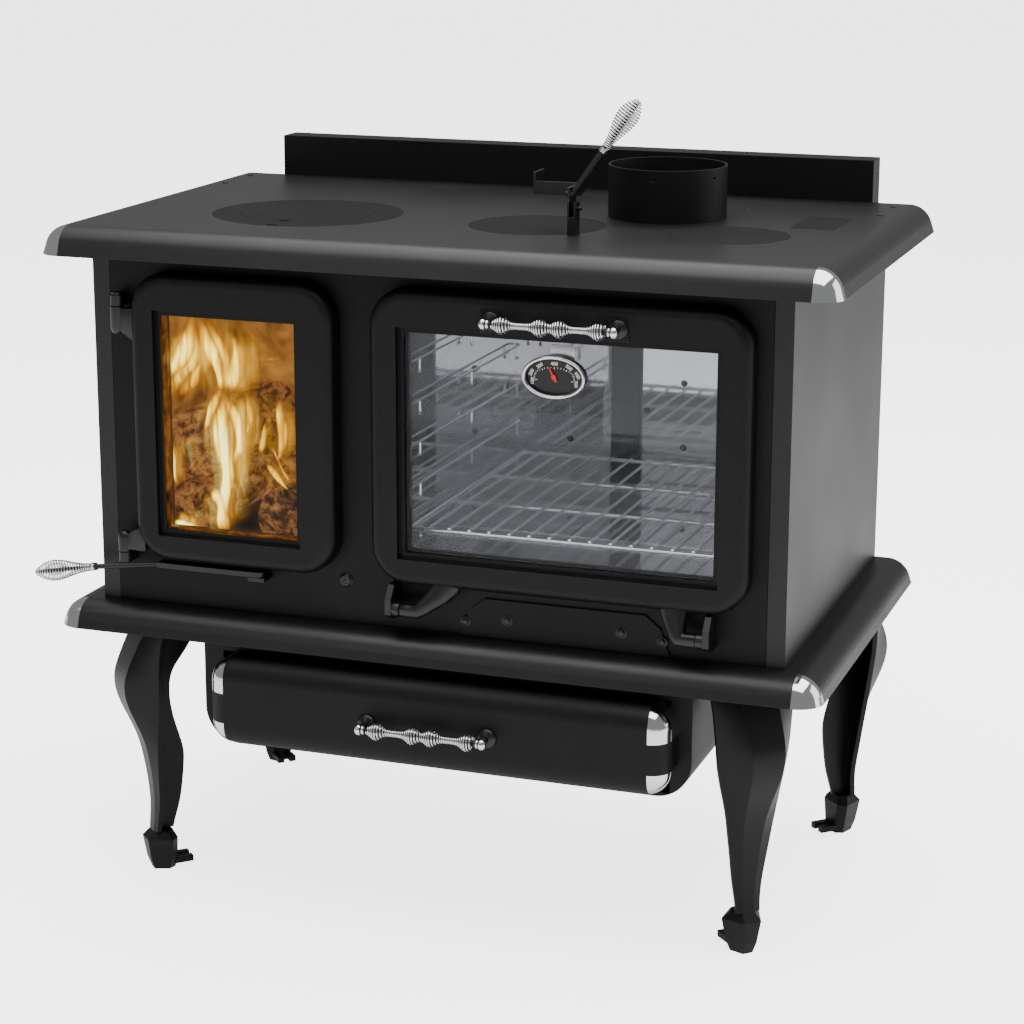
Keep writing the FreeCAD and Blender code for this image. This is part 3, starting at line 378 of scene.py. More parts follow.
@dataclass(frozen=True)
class Enamel(Finish):
    """Printed or stoved enamel in one colour, smooth, with a faint flow in its gloss."""

    colour: str = "#f2f2ee"
    roughness: float = 0.35
    flow_mm: float = 8.0
    drift: float = 0.06

    def dress(self, work: Paintwork) -> None:
        """Even colour; its gloss drifts slightly over a few millimetres."""
        work.fix({"Base Color": self.colour})
        gloss = (self.roughness - self.drift, self.roughness + self.drift)
        work.join(work.span(work.noise(self.flow_mm), (0.0, 1.0), gloss), "Roughness")


class Coat(Enum):
    """Every finish on the stove."""

    # stove paint sprayed on folded sheet: nearly black, dull, with a fine even grain
    BODY = SprayedPaint("sheet_steel_sprayed_black")
    # the same paint on the wide sides, drawn lighter than on the front as painted light for the light that falls on
    # them; its grain shows more where light rakes over it
    SIDE = SprayedPaint("sheet_steel_sprayed_side_painted_light", "#0c0c0d", "#1a1a1b", 0.44, 0.49, 0.36, 2.4, 0.16)
    # paint on rolled plate that is wiped clean: a little smoother, so it shows a sheen at low angles
    COOKTOP = SprayedPaint("rolled_plate_sprayed_satin", "#0a0a0b", "#141415", 0.36, 0.42, 0.4, 2.0, 0.10)
    # paint over sand-cast iron: soft lumps a few millimetres across, and round edges
    CASTING = SprayedPaint("cast_iron_painted", "#050506", "#0c0c0d", 0.40, 0.48, 0.2, 3.2, 0.22, 1.6)
    # unpainted machined iron plates: flat black and the dullest surface on the stove
    BURNER = SprayedPaint("cast_iron_seasoned", "#0a0a0a", "#101010", 0.62, 0.74, 0.15, 2.2, 0.08, 0.6)
    # forged and turned small steel parts under black paint: a slightly brighter highlight
    FITTING = SprayedPaint("forged_steel_painted", "#070708", "#0f0f10", 0.30, 0.38, 0.42, 2.6, 0.10, 0.7)
    # steel that the fire has scaled: brown-black and uneven
    SCALED = SprayedPaint("plate_steel_fire_scaled", "#1a120c", "#3a281a", 0.6, 0.85, 0.3, 9.0, 0.5)
    # bright chromium plate over polished steel: sharp white reflections
    CHROME = PolishedMetal("chromium_plated_polished")
    # chromed spring wire: the same, softer between its turns
    WIRE = PolishedMetal("spring_wire_chromed", "#d2d3d5", 0.10, 0.2, 4.0)
    # rack wire: bright zinc and chrome, a little grey, with a grey glow of its own as painted light so the wires read
    # lighter
    RACK = PolishedMetal("rack_wire_plated", "#d0d1d4", 0.12, 0.2, 10.0, painted_glow_power=0.35)
    # stainless lining, cold rolled: a grey mirror with a slight drawn haze, and a faint grey glow of its own as
    # painted light that brightens the oven's inside
    LINER = PolishedMetal("stainless_sheet_bright_rolled", "#b4b5b9", 0.03, 0.05, 60.0, (1.0, 0.1, 1.0),
                          painted_glow_power=0.22)
    # ceramic glass for the fire, drawn flat: clear with a trace of warmth
    FIRE_GLASS = DrawnGlass("ceramic_glass_drawn", "#f4efe6", 0.08, 1.54)
    # tempered glass for the oven: clear and faintly cool
    OVEN_GLASS = DrawnGlass("tempered_glass_float", "#e8edef", 0.12, 1.5)
    # woven glass rope, pressed flat: grey strands
    ROPE = PressedMineral("glass_rope_woven", "#1b1b1b", "#3c3c3c", 3.0, 0.8, (1.0, 1.0, 3.0))
    # firebrick, pressed and fired: sandy with brown burns
    BRICK = PressedMineral("firebrick_fired")
    # vermiculite board, pressed: pale flakes
    BOARD = PressedMineral("vermiculite_board_pressed", "#7c6543", "#c3a878", 3.5, 0.4)
    # oak bark, charred: black in its hollows, brown and ash grey on its scales
    BARK = CharredBark("oak_bark_charred")
    # burning wood gas: bright tongues
    FLAME = Flame("burning_wood_gas")
    # the same, dimmer and wider, behind the tongues
    VEIL = Flame("burning_wood_gas_thin", 1.8, "#8a4c08", "#cc8614", "#f0b828", "#ffdc5c", 14.0)
    # woven rope and its steel strip beside the flames: brown, lit orange
    FIRELIT = Glow("rope_and_strip_lit_by_fire", "#2a1206", "#5c3412", "#8a5220", 0.8, 30.0)
    # hot air and smoke over the embers, lit brown and orange
    EMBERS = Glow("ember_lit_air")
    # dial enamel, stoved black: flat and even
    DIAL = Enamel("dial_enamel_stoved_black", "#060606", 0.4)
    # dial print: opaque white ink
    PRINT = Enamel("dial_ink_screen_printed", "#f4f4f0", 0.45)
    # pointer enamel: signal red
    POINTER = Enamel("pointer_enamel_red", "#e01010", 0.3)
    # the shadow inside a slot cut through black sheet
    SLOT = Enamel("cut_slot_painted_shadow", "#030303", 0.8)


def dress(coat: Coat, *names: str) -> None:
    """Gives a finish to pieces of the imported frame.

    Args:
        coat: the finish.
        names: the frame's own piece names.
    """
    for name in names:
        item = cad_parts[name]
        item.data.materials.clear()
        item.data.materials.append(coat.value.material())
    LOG.info("%s on %s", coat.value.name, ", ".join(names))


# ---- meshes -------------------------------------------------------------------------------------------

def show(item: bpy.types.Object) -> bpy.types.Object:
    """Puts an object in the scene and gives it back."""
    bpy.context.scene.collection.objects.link(item)
    return item


def mount(name: str, mesh: bpy.types.Mesh, coat: Coat, body: str) -> bpy.types.Object:
    """Makes a mesh a piece of the scene that rides on a body.

    Args:
        name: the piece's name.
        mesh: its mesh.
        coat: its finish.
        body: the body it moves with.

    Returns:
        The new object.
    """
    mesh.materials.clear()
    mesh.materials.append(coat.value.material())
    item = show(bpy.data.objects.new(name, mesh))
    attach(item, body)
    return item


def square_to(way: Vector) -> tuple[Vector, Vector]:
    """Two directions square to a unit one and to each other."""
    first = way.cross(UP if abs(way.z) < 0.9 else BACK).normalized()
    return first, way.cross(first)


def ring(centre: Vector, first: Vector, second: Vector, radius_mm: float, sides: int) -> list[Vector]:
    """Points round a circle.

    Args:
        centre: its middle.
        first: the direction of its first point.
        second: the direction a quarter turn on.
        radius_mm: its radius.
        sides: how many points it has.

    Returns:
        The points in order.
    """
    return [centre + (first * math.cos(a) + second * math.sin(a)) * radius_mm * MM
            for a in (2 * math.pi * k / sides for k in range(sides))]


@dataclass
class Shell:
    """Points and faces that grow into one piece, kept in metres in the frame."""

    points: list[Vector] = field(default_factory=list)
    faces: list[Face] = field(default_factory=list)
    warmth: list[float] = field(default_factory=list)

    def take(self, points: Sequence[Vector], faces: Sequence[Face]) -> "Shell":
        """Adds points and the faces that join them."""
        start = len(self.points)
        self.points.extend(points)
        self.faces.extend(tuple(start + i for i in face) for face in faces)
        return self

    def rings(self, loops: Sequence[Sequence[Vector]], closed: bool = False) -> "Shell":
        """Joins rings of equal length into a skin.

        Args:
            loops: the rings in order.
            closed: whether the last ring joins the first; otherwise the ends are capped.

        Returns:
            This shell.
        """
        count, sides = len(loops), len(loops[0])
        faces: list[Face] = []
        for i in range(count if closed else count - 1):
            j = (i + 1) % count
            for k in range(sides):
                m = (k + 1) % sides
                faces.append((i * sides + k, i * sides + m, j * sides + m, j * sides + k))
        if not closed:
            faces.append(tuple(reversed(range(sides))))
            faces.append(tuple((count - 1) * sides + k for k in range(sides)))
        return self.take([p for loop in loops for p in loop], faces)

    def turned(self, rows: Sequence[Row], start: Vector, way: Vector, sides: int = 36) -> "Shell":
        """Turns a profile about a line.

        Args:
            rows: distance along the line and radius, in millimetres.
            start: where the line starts.
            way: the line's direction.
            sides: how many points each ring has.

        Returns:
            This shell.
        """
        unit = way.normalized()
        first, second = square_to(unit)
        return self.rings([ring(start + unit * along * MM, first, second, max(radius, 0.01), sides)
                           for along, radius in rows])

    def tube(self, path: Sequence[Vector], radius_mm: float, sides: int = 10, closed: bool = False) -> "Shell":
        """A round wire along a path of points."""
        loops = []
        normal: Optional[Vector] = None
        count = len(path)
        for i, point in enumerate(path):
            before = path[i - 1] if (i or closed) else point
            after = path[(i + 1) % count] if (i + 1 < count or closed) else point
            way = (after - before).normalized()
            if normal is None:
                normal = way.cross(Vector((0.3, 0.5, 0.8))).normalized()
            normal = (normal - way * normal.dot(way)).normalized()
            loops.append(ring(point, normal, way.cross(normal), radius_mm, sides))
        return self.rings(loops, closed)

    def wound(self, radius_at: Callable[[float], float], long_mm: float, start: Vector, way: Vector,
              wire_mm: float, pitch_mm: float) -> "Shell":
        """Wire wound round a line, with a radius that changes along it.

        Args:
            radius_at: the outer radius in millimetres at a fraction of the length.
            long_mm: how long the winding is.
            start: where it starts.
            way: its direction.
            wire_mm: the wire's radius.
            pitch_mm: how far one turn goes along; narrow parts are wound closer.

        Returns:
            This shell.
        """
        unit = way.normalized()
        first, second = square_to(unit)
        steps_per_turn, sides = 20, 7
        widest = max(radius_at(k / 40) for k in range(41))
        loops = []
        part, i = 0.0, 0
        while part < 1.0:
            turn = 2 * math.pi * i / steps_per_turn
            out = first * math.cos(turn) + second * math.sin(turn)
            centre = start + (unit * (wire_mm + part * (long_mm - 2 * wire_mm))
                              + out * (radius_at(part) - wire_mm)) * MM
            loops.append(ring(centre, out, unit, wire_mm, sides))
            pitch = max(2.1 * wire_mm, pitch_mm * min(1.0, 1.7 * radius_at(part) / widest))
            part += pitch / steps_per_turn / long_mm
            i += 1
        return self.rings(loops)

    def eased(self, mesh: bmesh.types.BMesh, round_mm: float) -> "Shell":
        """Rounds a closed solid's edges, adds it and frees it."""
        if round_mm:
            bmesh.ops.bevel(mesh, geom=list(mesh.edges), offset=round_mm * MM, segments=3, profile=0.5,
                            affect="EDGES")
        mesh.verts.index_update()
        points = [v.co.copy() for v in mesh.verts]
        faces = [tuple(v.index for v in face.verts) for face in mesh.faces]
        mesh.free()
        return self.take(points, faces)

    def block(self, low: Vector, high: Vector, round_mm: float) -> "Shell":
        """A block between two corners with rounded edges."""
        mesh = bmesh.new()
        bmesh.ops.create_cube(mesh, size=1.0)
        size, middle = high - low, (high + low) / 2
        for vert in mesh.verts:
            vert.co = Vector([c * s for c, s in zip(vert.co, size)]) + middle
        return self.eased(mesh, round_mm)

    def slab(self, outline: Sequence[Row], near_y: float, far_y: float, round_mm: float) -> "Shell":
        """A flat shape seen from the front, given a thickness and rounded edges.

        Args:
            outline: its corners as (x, z) in the stove's drawing.
            near_y: where its front is.
            far_y: where its back is.
            round_mm: the radius of its edges.

        Returns:
            This shell.
        """
        mesh = bmesh.new()
        front = [mesh.verts.new(at(x, near_y, z)) for x, z in outline]
        back = [mesh.verts.new(at(x, far_y, z)) for x, z in outline]
        mesh.faces.new(front)
        mesh.faces.new(list(reversed(back)))
        for i in range(len(outline)):
            j = (i + 1) % len(outline)
            mesh.faces.new((front[j], front[i], back[i], back[j]))
        return self.eased(mesh, round_mm)

    def put(self, name: str, coat: Coat, body: str, slot: str, sharp: float = 40.0) -> bpy.types.Object:
        """Makes the shell a piece of the scene that rides on a body.

        Args:
            name: the piece's name.
            coat: its finish.
            body: the body it moves with.
            slot: not used.
            sharp: edges steeper than this many degrees stay crisp.

        Returns:
            The new object.
        """
        mesh = bpy.data.meshes.new(name)
        mesh.from_pydata([tuple(p) for p in self.points], [], self.faces)
        mesh.validate()
        fixed = bmesh.new()
        fixed.from_mesh(mesh)
        bmesh.ops.recalc_face_normals(fixed, faces=fixed.faces)
        fixed.to_mesh(mesh)
        fixed.free()
        mesh.shade_smooth()
        mesh.set_sharp_from_angle(angle=math.radians(sharp))
        if self.warmth:
            layer = mesh.attributes.new("warmth", "FLOAT", "POINT")
            layer.data.foreach_set("value", self.warmth)
        LOG.info("%s rides on %s, %d faces", name, body, len(self.faces))
        return mount(name, mesh, coat, body)


# ---- sub-assemblies -----------------------------------------------------------------------------------

@dataclass
class Steelwork:
    """The folded body, cooktop, tray, collar, shield and legs."""

    back_half: float = 427.0
    shield_back: float = 577.2
    shield_low: float = 430.0
    shield_high: float = 919.4
    screw_radius: float = 5.0
    screw_inset: float = 24.0

    def build(self) -> None:
        """Dresses the carried pieces, then fastens the rear shield."""
        dress(Coat.BODY, "front_plate", "back_panel", "bottom_plate", "drawer_housing", "drawer_pan",
              "drawer_front", "cleanout_cover", "flue_collar", "rear_heat_shield")
        dress(Coat.SIDE, "left_side_panel", "right_side_panel")
        dress(Coat.COOKTOP, "cooktop", "base_tray")
        dress(Coat.BURNER, "cooktop_plates", "burner_ring", "burner_lid", "fire_grate")
        dress(Coat.CASTING, "leg_front_left", "leg_front_right", "leg_back_left", "leg_back_right",
              "fire_door_frame", "oven_door_frame")
        dress(Coat.CHROME, "cooktop_corners", "tray_corners", "drawer_corners", "air_knob")
        dress(Coat.DIAL, "thermometer_case")
        dress(Coat.FITTING, "leg_bolts", "cooktop_screws", "front_buttons", "hinge_brackets", "hinge_pins",
              "fire_hinge_barrels", "oven_hinge_arms", "oven_handle", "drawer_handle", "latch_lever",
              "damper_post", "damper_lever", "oven_glass_retainer")
        dress(Coat.SCALED, "firebox_shell", "air_tubes", "damper_flap")
        self.fasten_shield()

    def fasten_shield(self) -> None:
        """Pan-head screws in three rows across the shield's back."""
        heads = Shell()
        radius = self.screw_radius
        rows = [(-1.9, 0.01), (-1.9, radius * 0.45), (-1.3, radius * 0.8), (-0.5, radius), (0.1, radius)]
        levels = (self.shield_low + self.screw_inset, (self.shield_low + self.shield_high) / 2,
                  self.shield_high - self.screw_inset)
        for level in levels:
            for across in (-1.0, -0.5, 0.0, 0.5, 1.0):
                spot = at(across * (self.back_half - self.screw_inset), self.shield_back - 2.1, level)
                heads.turned(rows, spot, FRONT, 20)
        heads.put("shield_screws", Coat.FITTING, "stove", "fittings")


@dataclass
class FireLog:
    """One barked log: front end, radius, length, turn from the right and rise, as the frame has it."""

    x: float
    y: float
    z: float
    radius: float
    long: float
    turn: float
    rise: float

    def grow(self, shell: Shell, chance: random.Random) -> None:
        """Adds a lumpy log with a hollowed, charred front end."""
        turn, rise = math.radians(self.turn), math.radians(self.rise)
        way = Vector((math.cos(turn) * math.cos(rise), math.sin(turn) * math.cos(rise), math.sin(rise)))
        first = way.cross(UP).normalized()
        second = first.cross(way)
        start = at(self.x, self.y, self.z)
        sides, rings = 72, 70
        waves = [(chance.uniform(0, 6.28), chance.randint(2, 7), chance.uniform(0.3, 1.0)) for _ in range(6)]
        plates = [(chance.uniform(0, 6.28), chance.uniform(0.75, 1.25)) for _ in range(sides)]
        loops = []
        for i in range(-4, rings + 1):
            part = max(i, 0) / rings
            inset = 1.0 if i >= 0 else (0.93, 0.74, 0.5, 0.2)[-i - 1]
            along = part * self.long + (2.5 if i < 0 else 0)
            loop = []
            for k in range(sides):
                angle = 2 * math.pi * k / sides
                lump = sum(0.012 * size * math.sin(turns * angle + phase + part * 3.0)
                           for phase, turns, size in waves)
                shift, pace = plates[(k // 3) * 3]
                crack = abs(math.sin(part * self.long / 7.5 * pace + shift + 0.5 * math.sin(angle * 3)))
                seam = 0.035 if k % 6 == 0 else 0.0
                dent = 0.05 * (1 - min(crack * 2.2, 1.0)) + seam if i > 0 else 0.0
                reach = self.radius * inset * (0.95 + lump - dent)
                loop.append(start + (way * along + first * math.cos(angle) * reach
                                     + second * math.sin(angle) * reach) * MM)
            loops.append(loop)
        shell.rings(loops)


@dataclass
class Tongue:
    """One tongue of flame: points seen on the pane as (across, up) fractions, how deep it burns, how wide."""

    path: Sequence[Row]
    deep: float
    wide: float
    hot: float = 1.0


@dataclass
class Firebox:
    """Bricks, grate, logs and the fire itself."""

    left: float = -348.5
    wide: float = 181.0
    low: float = 484.5
    tall: float = 274.5
    pane_y: float = -17.0
    lean_x: float = -0.48
    lean_z: float = -0.253
    logs: Sequence[FireLog] = (FireLog(-208, 38, 498, 38, 200, 110, 4), FireLog(-345, 60, 577, 45, 230, 89, 0),
                               FireLog(-352, 66, 494, 36, 260, 89, 0))
    curtain: Sequence[Row] = ((-393.5, 26), (-393.5, 110), (-392, 200), (-380, 262), (-330, 280), (-250, 282),
                              (-180, 278), (-108, 262))
    curtain_low: float = 462.0
    curtain_high: float = 742.0
    tongues: Sequence[Tongue] = (
        Tongue([(0.42, -0.02), (0.43, 0.14), (0.47, 0.28), (0.44, 0.40), (0.42, 0.52), (0.46, 0.63), (0.44, 0.72)],
               44, 26, 1.25),
        Tongue([(0.50, 0.30), (0.57, 0.42), (0.56, 0.52), (0.48, 0.62), (0.45, 0.70)], 46, 20, 1.0),
        Tongue([(0.46, 0.66), (0.54, 0.76), (0.58, 0.88), (0.50, 0.93)], 48, 28, 0.95),
        Tongue([(0.45, 0.66), (0.42, 0.78), (0.33, 0.90), (0.26, 1.04)], 50, 24, 0.9),
        Tongue([(0.44, 0.68), (0.48, 0.80), (0.40, 0.92), (0.32, 1.04)], 54, 16, 0.8),
        Tongue([(-0.02, 0.66), (0.05, 0.76), (0.15, 0.84), (0.20, 0.94), (0.24, 1.06)], 50, 24, 1.05),
        Tongue([(-0.02, 0.58), (0.08, 0.70), (0.20, 0.78), (0.24, 0.90), (0.16, 1.04)], 56, 22, 0.7),
        Tongue([(0.10, 0.62), (0.22, 0.72), (0.30, 0.84), (0.22, 1.0)], 62, 26, 0.6),
        Tongue([(0.30, 0.46), (0.34, 0.56), (0.40, 0.64), (0.44, 0.70)], 50, 14, 0.85),
        Tongue([(0.00, 0.42), (0.02, 0.32), (0.06, 0.24), (0.10, 0.20)], 36, 16, 1.0),
        Tongue([(0.34, 0.20), (0.40, 0.14), (0.42, 0.05), (0.46, -0.02)], 40, 22, 1.0),
        Tongue([(0.62, 0.44), (0.66, 0.54), (0.64, 0.62), (0.60, 0.72)], 60, 14, 0.6),
        Tongue([(0.72, 0.38), (0.76, 0.48), (0.78, 0.56)], 58, 10, 0.55),
        Tongue([(0.86, 0.34), (0.90, 0.48), (0.88, 0.60), (0.92, 0.68)], 60, 16, 0.75),
        Tongue([(0.76, 0.36), (0.88, 0.26), (1.02, 0.18)], 40, 7, 0.6),
        Tongue([(0.80, 0.44), (0.90, 0.32), (1.02, 0.22)], 42, 6, 0.5),
        Tongue([(0.02, 0.01), (0.14, 0.02), (0.26, -0.01)], 34, 12, 1.3),
        Tongue([(0.66, 0.84), (0.80, 0.84), (0.98, 0.86)], 70, 9, 0.4),
    )

    def build(self) -> None:
        """Dresses the hearth, then lays the logs and lights the fire."""
        dress(Coat.BRICK, "firebricks")
        dress(Coat.BOARD, "baffle_plate")
        dress(Coat.FIRE_GLASS, "fire_door_glass")
        dress(Coat.FIRELIT, "fire_door_gasket", "fire_glass_retainer")
        chance = random.Random(7)
        bark = Shell()
        for log in self.logs:
            log.grow(bark, chance)
        pile = bark.put("burning_logs", Coat.BARK, "stove", "firewood", 60)
        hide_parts("fire_logs")
        self.light_tongues()
        self.hang_glow()

    def behind(self, across: float, up: float, deep: float) -> Vector:
        """The point that lies at a depth behind a place on the pane, along the usual line of sight."""
        back = deep - self.pane_y
        return at(self.left + self.wide * across + self.lean_x * back,
                  deep, self.low + self.tall * up + self.lean_z * back)

    def smooth_path(self, tongue: Tongue, steps: int) -> list[Vector]:
        """A Catmull-Rom curve through a tongue's points."""
        known = list(tongue.path)
        known = [known[0]] + known + [known[-1]]
        found = []
        spans = len(known) - 3
        for i in range(steps + 1):
            place = min(i / steps * spans, spans - 1e-6)
            k, t = int(place), place - int(place)
            a, b, c, d = known[k:k + 4]
            spot = [0.5 * (2 * b[n] + (c[n] - a[n]) * t + (2 * a[n] - 5 * b[n] + 4 * c[n] - d[n]) * t * t
                           + (3 * b[n] - a[n] - 3 * c[n] + d[n]) * t ** 3) for n in (0, 1)]
            found.append(self.behind(spot[0], spot[1], tongue.deep))
        return found

    def light_tongues(self) -> None:
        """Two skins of thin ribbons, hot along their middles: bright tongues, and a veil behind them."""
        for name, coat, spread, push, gain in (("flame_tongues", Coat.FLAME, 1.0, 0.0, 1.0),
                                               ("flame_veil", Coat.VEIL, 2.4, 14.0, 0.7)):
            skin = Shell()
            chance = random.Random(11)
            for tongue in self.tongues:
                steps, lanes = 40, 10
                path = self.smooth_path(tongue, steps)
                wobble = chance.uniform(0, 6.28)
                points, faces, start = [], [], len(skin.points)
                for i, centre in enumerate(path):
                    part = i / steps
                    ahead, back = path[min(i + 1, steps)], path[max(i - 1, 0)]
                    way = (ahead - back).normalized()
                    side = way.cross(BACK).normalized()
                    width = tongue.wide * spread * (math.sin(math.pi * (0.08 + 0.9 * part)) ** 0.7) * (
                        1 + 0.25 * math.sin(part * 9 + wobble))
                    for k in range(lanes + 1):
                        lane = k / lanes * 2 - 1
                        bow = push + 5 * lane * lane + 3 * math.sin(part * 7 + lane * 2 + wobble)
                        points.append(centre + (side * lane * width / 2 + Vector((0, bow, 0))) * MM)
                        edge = (1 - lane * lane) ** 0.8
                        ends = min(1.0, part * 5, (1 - part) * 2.6)
                        skin.warmth.append(tongue.hot * gain * edge * ends)
                for i in range(steps):
                    for k in range(lanes):
                        a = i * (lanes + 1) + k
                        faces.append((a, a + 1, a + lanes + 2, a + lanes + 1))
                skin.take(points, faces)
            skin.put(name, coat, "stove", "firewood", 180)

    def hang_glow(self) -> None:
        """A curved curtain of lit air behind the logs, just in front of the bricks."""
        curtain = Shell()
        columns, rows = 24, 18
        points, faces = [], []
        route = self.curtain
        for i in range(columns + 1):
            place = i / columns * (len(route) - 1)
            a = min(int(place), len(route) - 2)
            x, y = [route[a][n] + (route[a + 1][n] - route[a][n]) * (place - a) for n in (0, 1)]
            for k in range(rows + 1):
                level = self.curtain_low + (self.curtain_high - self.curtain_low) * k / rows
                points.append(at(x, y + 3 * math.sin(k * 0.7 + i), level))
        for i in range(columns):
            for k in range(rows):
                a = i * (rows + 1) + k
                faces.append((a, a + rows + 1, a + rows + 2, a + 1))
        curtain.take(points, faces).put("lit_air", Coat.EMBERS, "stove", "firewood", 180)


@dataclass
class Oven:
    """The bright lining, the rack, its wire supports and the folded seams."""

    left: float = -48.0
    right: float = 392.0
    deep: float = 488.0
    low: float = 462.0
    high: float = 790.0
    wire: float = 1.6
    levels: Sequence[float] = (502, 555, 608, 661, 714, 767)
    post_x: tuple[float, float] = (83.0, 126.0)

    def build(self) -> None:
        """Dresses the lining and rack and bends the supports."""
        dress(Coat.LINER, "oven_liner")
        dress(Coat.RACK, "oven_rack")
        dress(Coat.OVEN_GLASS, "oven_door_glass")
        dress(Coat.ROPE, "oven_door_gasket")
        self.bend_supports()
        self.fold_post()

    def bend_supports(self) -> None:
        """One wire ledge for each level on each side, with stays down to the lining and dropped ends."""
        wires = Shell()
        for wall, side in ((self.left, 1), (self.right, -1)):
            for level in self.levels:
                top = level - 3.6 - self.wire
                far, near = self.deep - 40, 34
                x = wall + side * 9
                path = [at(wall + side * 1, near - 6, top), at(x - side * 2, near - 5, top), at(x, near, top)]
                path += [at(x, near + (far - near) * i / 6, top) for i in range(1, 7)]
                path += [at(x - side * 2, far + 5, top), at(wall + side * 1, far + 6, top)]
                wires.tube(path, self.wire, 8)
                for y in (72, 258, 438):
                    wires.tube([at(x, y, top), at(x, y, top - 9), at(x, y, top - 15)], self.wire, 8)
                    wires.turned([(-2.6, 0.6), (-1.8, 2.0), (0, 2.7), (1.8, 2.0), (2.6, 0.6)],
                                 at(x, y, top - 16), UP, 12)
        ledge = wires.put("rack_support_wires", Coat.RACK, "stove", "rack_wire")
        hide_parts("rack_supports")

    def fold_post(self) -> None:
        """The dull folded post over the seam in the back of the lining, and its row of screws."""
        post = Shell()
        near, far = self.post_x
        post.block(at(near, self.deep - 6, self.low + 1), at(far, self.deep - 0.2, self.high - 1), 1.5)
        post.put("oven_back_post", Coat.BODY, "stove", "oven_steel")
        screws = Shell()
        for x in (near - 60, far + 60, far + 190):
            for z in (520, 610, 700):
                screws.turned([(-3.0, 0.01), (-3.0, 2.0), (-1.6, 4.2), (0, 4.8)], at(x, self.deep - 0.1, z),
                              BACK, 18)
        screws.put("oven_lining_screws", Coat.FITTING, "stove", "fittings")


@dataclass
class CoilPull:
    """A pull of wound wire between two cups with round ends."""

    name: str
    x: float
    z: float
    face_y: float
    body: str
    half: float = 70.0
    reach: float = 79.0
    off: float = 22.0
    full: float = 11.5
    waist: float = 4.6
    bulges: Sequence[float] = (0.087, 0.428, 0.603, 0.944)
    spread: float = 0.062
    wire: float = 1.0
    pitch: float = 3.3
    end_setback: float = 5.6
    end_rows: Sequence[Row] = ((-1.0, 4.4), (0.0, 5.6), (1.6, 6.0), (3.0, 5.4), (4.4, 6.9), (6.6, 7.4), (9.2, 6.8),
                               (11.2, 5.0), (12.4, 2.6), (12.7, 0.01))
    band_rows: Sequence[Row] = ((2.2, 5.3), (2.5, 6.3), (4.2, 6.6), (4.5, 5.6))
    boss_rows: Sequence[Row] = ((-0.2, 12.6), (2.2, 12.4), (4.2, 10.6), (5.4, 7.0), (7.0, 5.0))

    def radius_at(self, part: float) -> float:
        """The winding's outer radius at a fraction of its length."""
        swell = sum(math.exp(-((part - place) / self.spread) ** 2) for place in self.bulges)
        return self.waist + (self.full - self.waist) * swell

    def build(self) -> None:
        """Winds the wire and turns the bright ends."""
        y = self.face_y - self.off
        start, long = at(self.x - self.half, y, self.z), 2 * self.half
        coil = Shell().wound(self.radius_at, long, start, RIGHT, self.wire, self.pitch)
        wound = coil.put(f"{self.name}_winding", Coat.WIRE, self.body, "wire_grip", 70)
        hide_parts(f"{self.name}_coil")
        core = Shell().turned([(0, 3.0), (0.5, 3.6), (long - 0.5, 3.6), (long, 3.0)], start, RIGHT, 20)
        core.put(f"{self.name}_core", Coat.FITTING, self.body, "fittings")
        tips, bands, bosses = Shell(), Shell(), Shell()
        for side in (-1, 1):
            end = at(self.x + side * (self.reach - self.end_setback), y, self.z)
            tips.turned(self.end_rows, end, RIGHT * side, 28)
            bands.turned(self.band_rows, end, RIGHT * side, 28)
            bosses.turned(self.boss_rows, at(self.x + side * self.reach, self.face_y, self.z), FRONT, 24)
        tips.put(f"{self.name}_tips", Coat.CHROME, self.body, "chrome_trim", 50)
        bands.put(f"{self.name}_bands", Coat.FITTING, self.body, "fittings", 50)
        bosses.put(f"{self.name}_bosses", Coat.FITTING, self.body, "fittings", 50)


@dataclass
class LeverGrip:
    """The wound grip on the end of a lever, narrow at its collar and round near its tip."""

    name: str
    collar: tuple[float, float, float]
    tip: tuple[float, float, float]
    radius: float
    body: str
    lead: float = 0.03
    wire: float = 1.05
    pitch: float = 3.7
    collar_radius: float = 5.4
    tip_radius: float = 3.4

    def radius_at(self, part: float) -> float:
        """The grip's outer radius at a fraction of its length."""
        end = self.collar_radius * (1 - part) + self.tip_radius * part
        return end + (self.radius - end) * max(0.0, math.sin(math.pi * min(part, 1.0) ** 1.6))

    def build(self) -> None:
        """Winds the grip and puts a bright cup at its collar."""
        start, end = at(*self.collar), at(*self.tip)
        way = end - start
        long = way.length / MM
        first = start + way * self.lead
        grip = Shell().wound(self.radius_at, long * (1 - self.lead), first, way, self.wire, self.pitch)
        core = Shell().turned([(0, 2.4), (0.5, 2.9), (long * 0.92, 2.9), (long * 0.93, 2.2)], first, way, 16)
        core.put(f"{self.name}_core", Coat.FITTING, self.body, "fittings")
        wound = grip.put(f"{self.name}_winding", Coat.WIRE, self.body, "wire_grip", 70)
        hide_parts(self.name)
        cup = Shell().turned([(-6.5, 3.6), (-6.0, 4.8), (-1.0, 5.2), (0.2, 5.0), (0.6, 3.4)], first, way, 24)
        cup.put(f"{self.name}_cup", Coat.CHROME, self.body, "chrome_trim", 40)


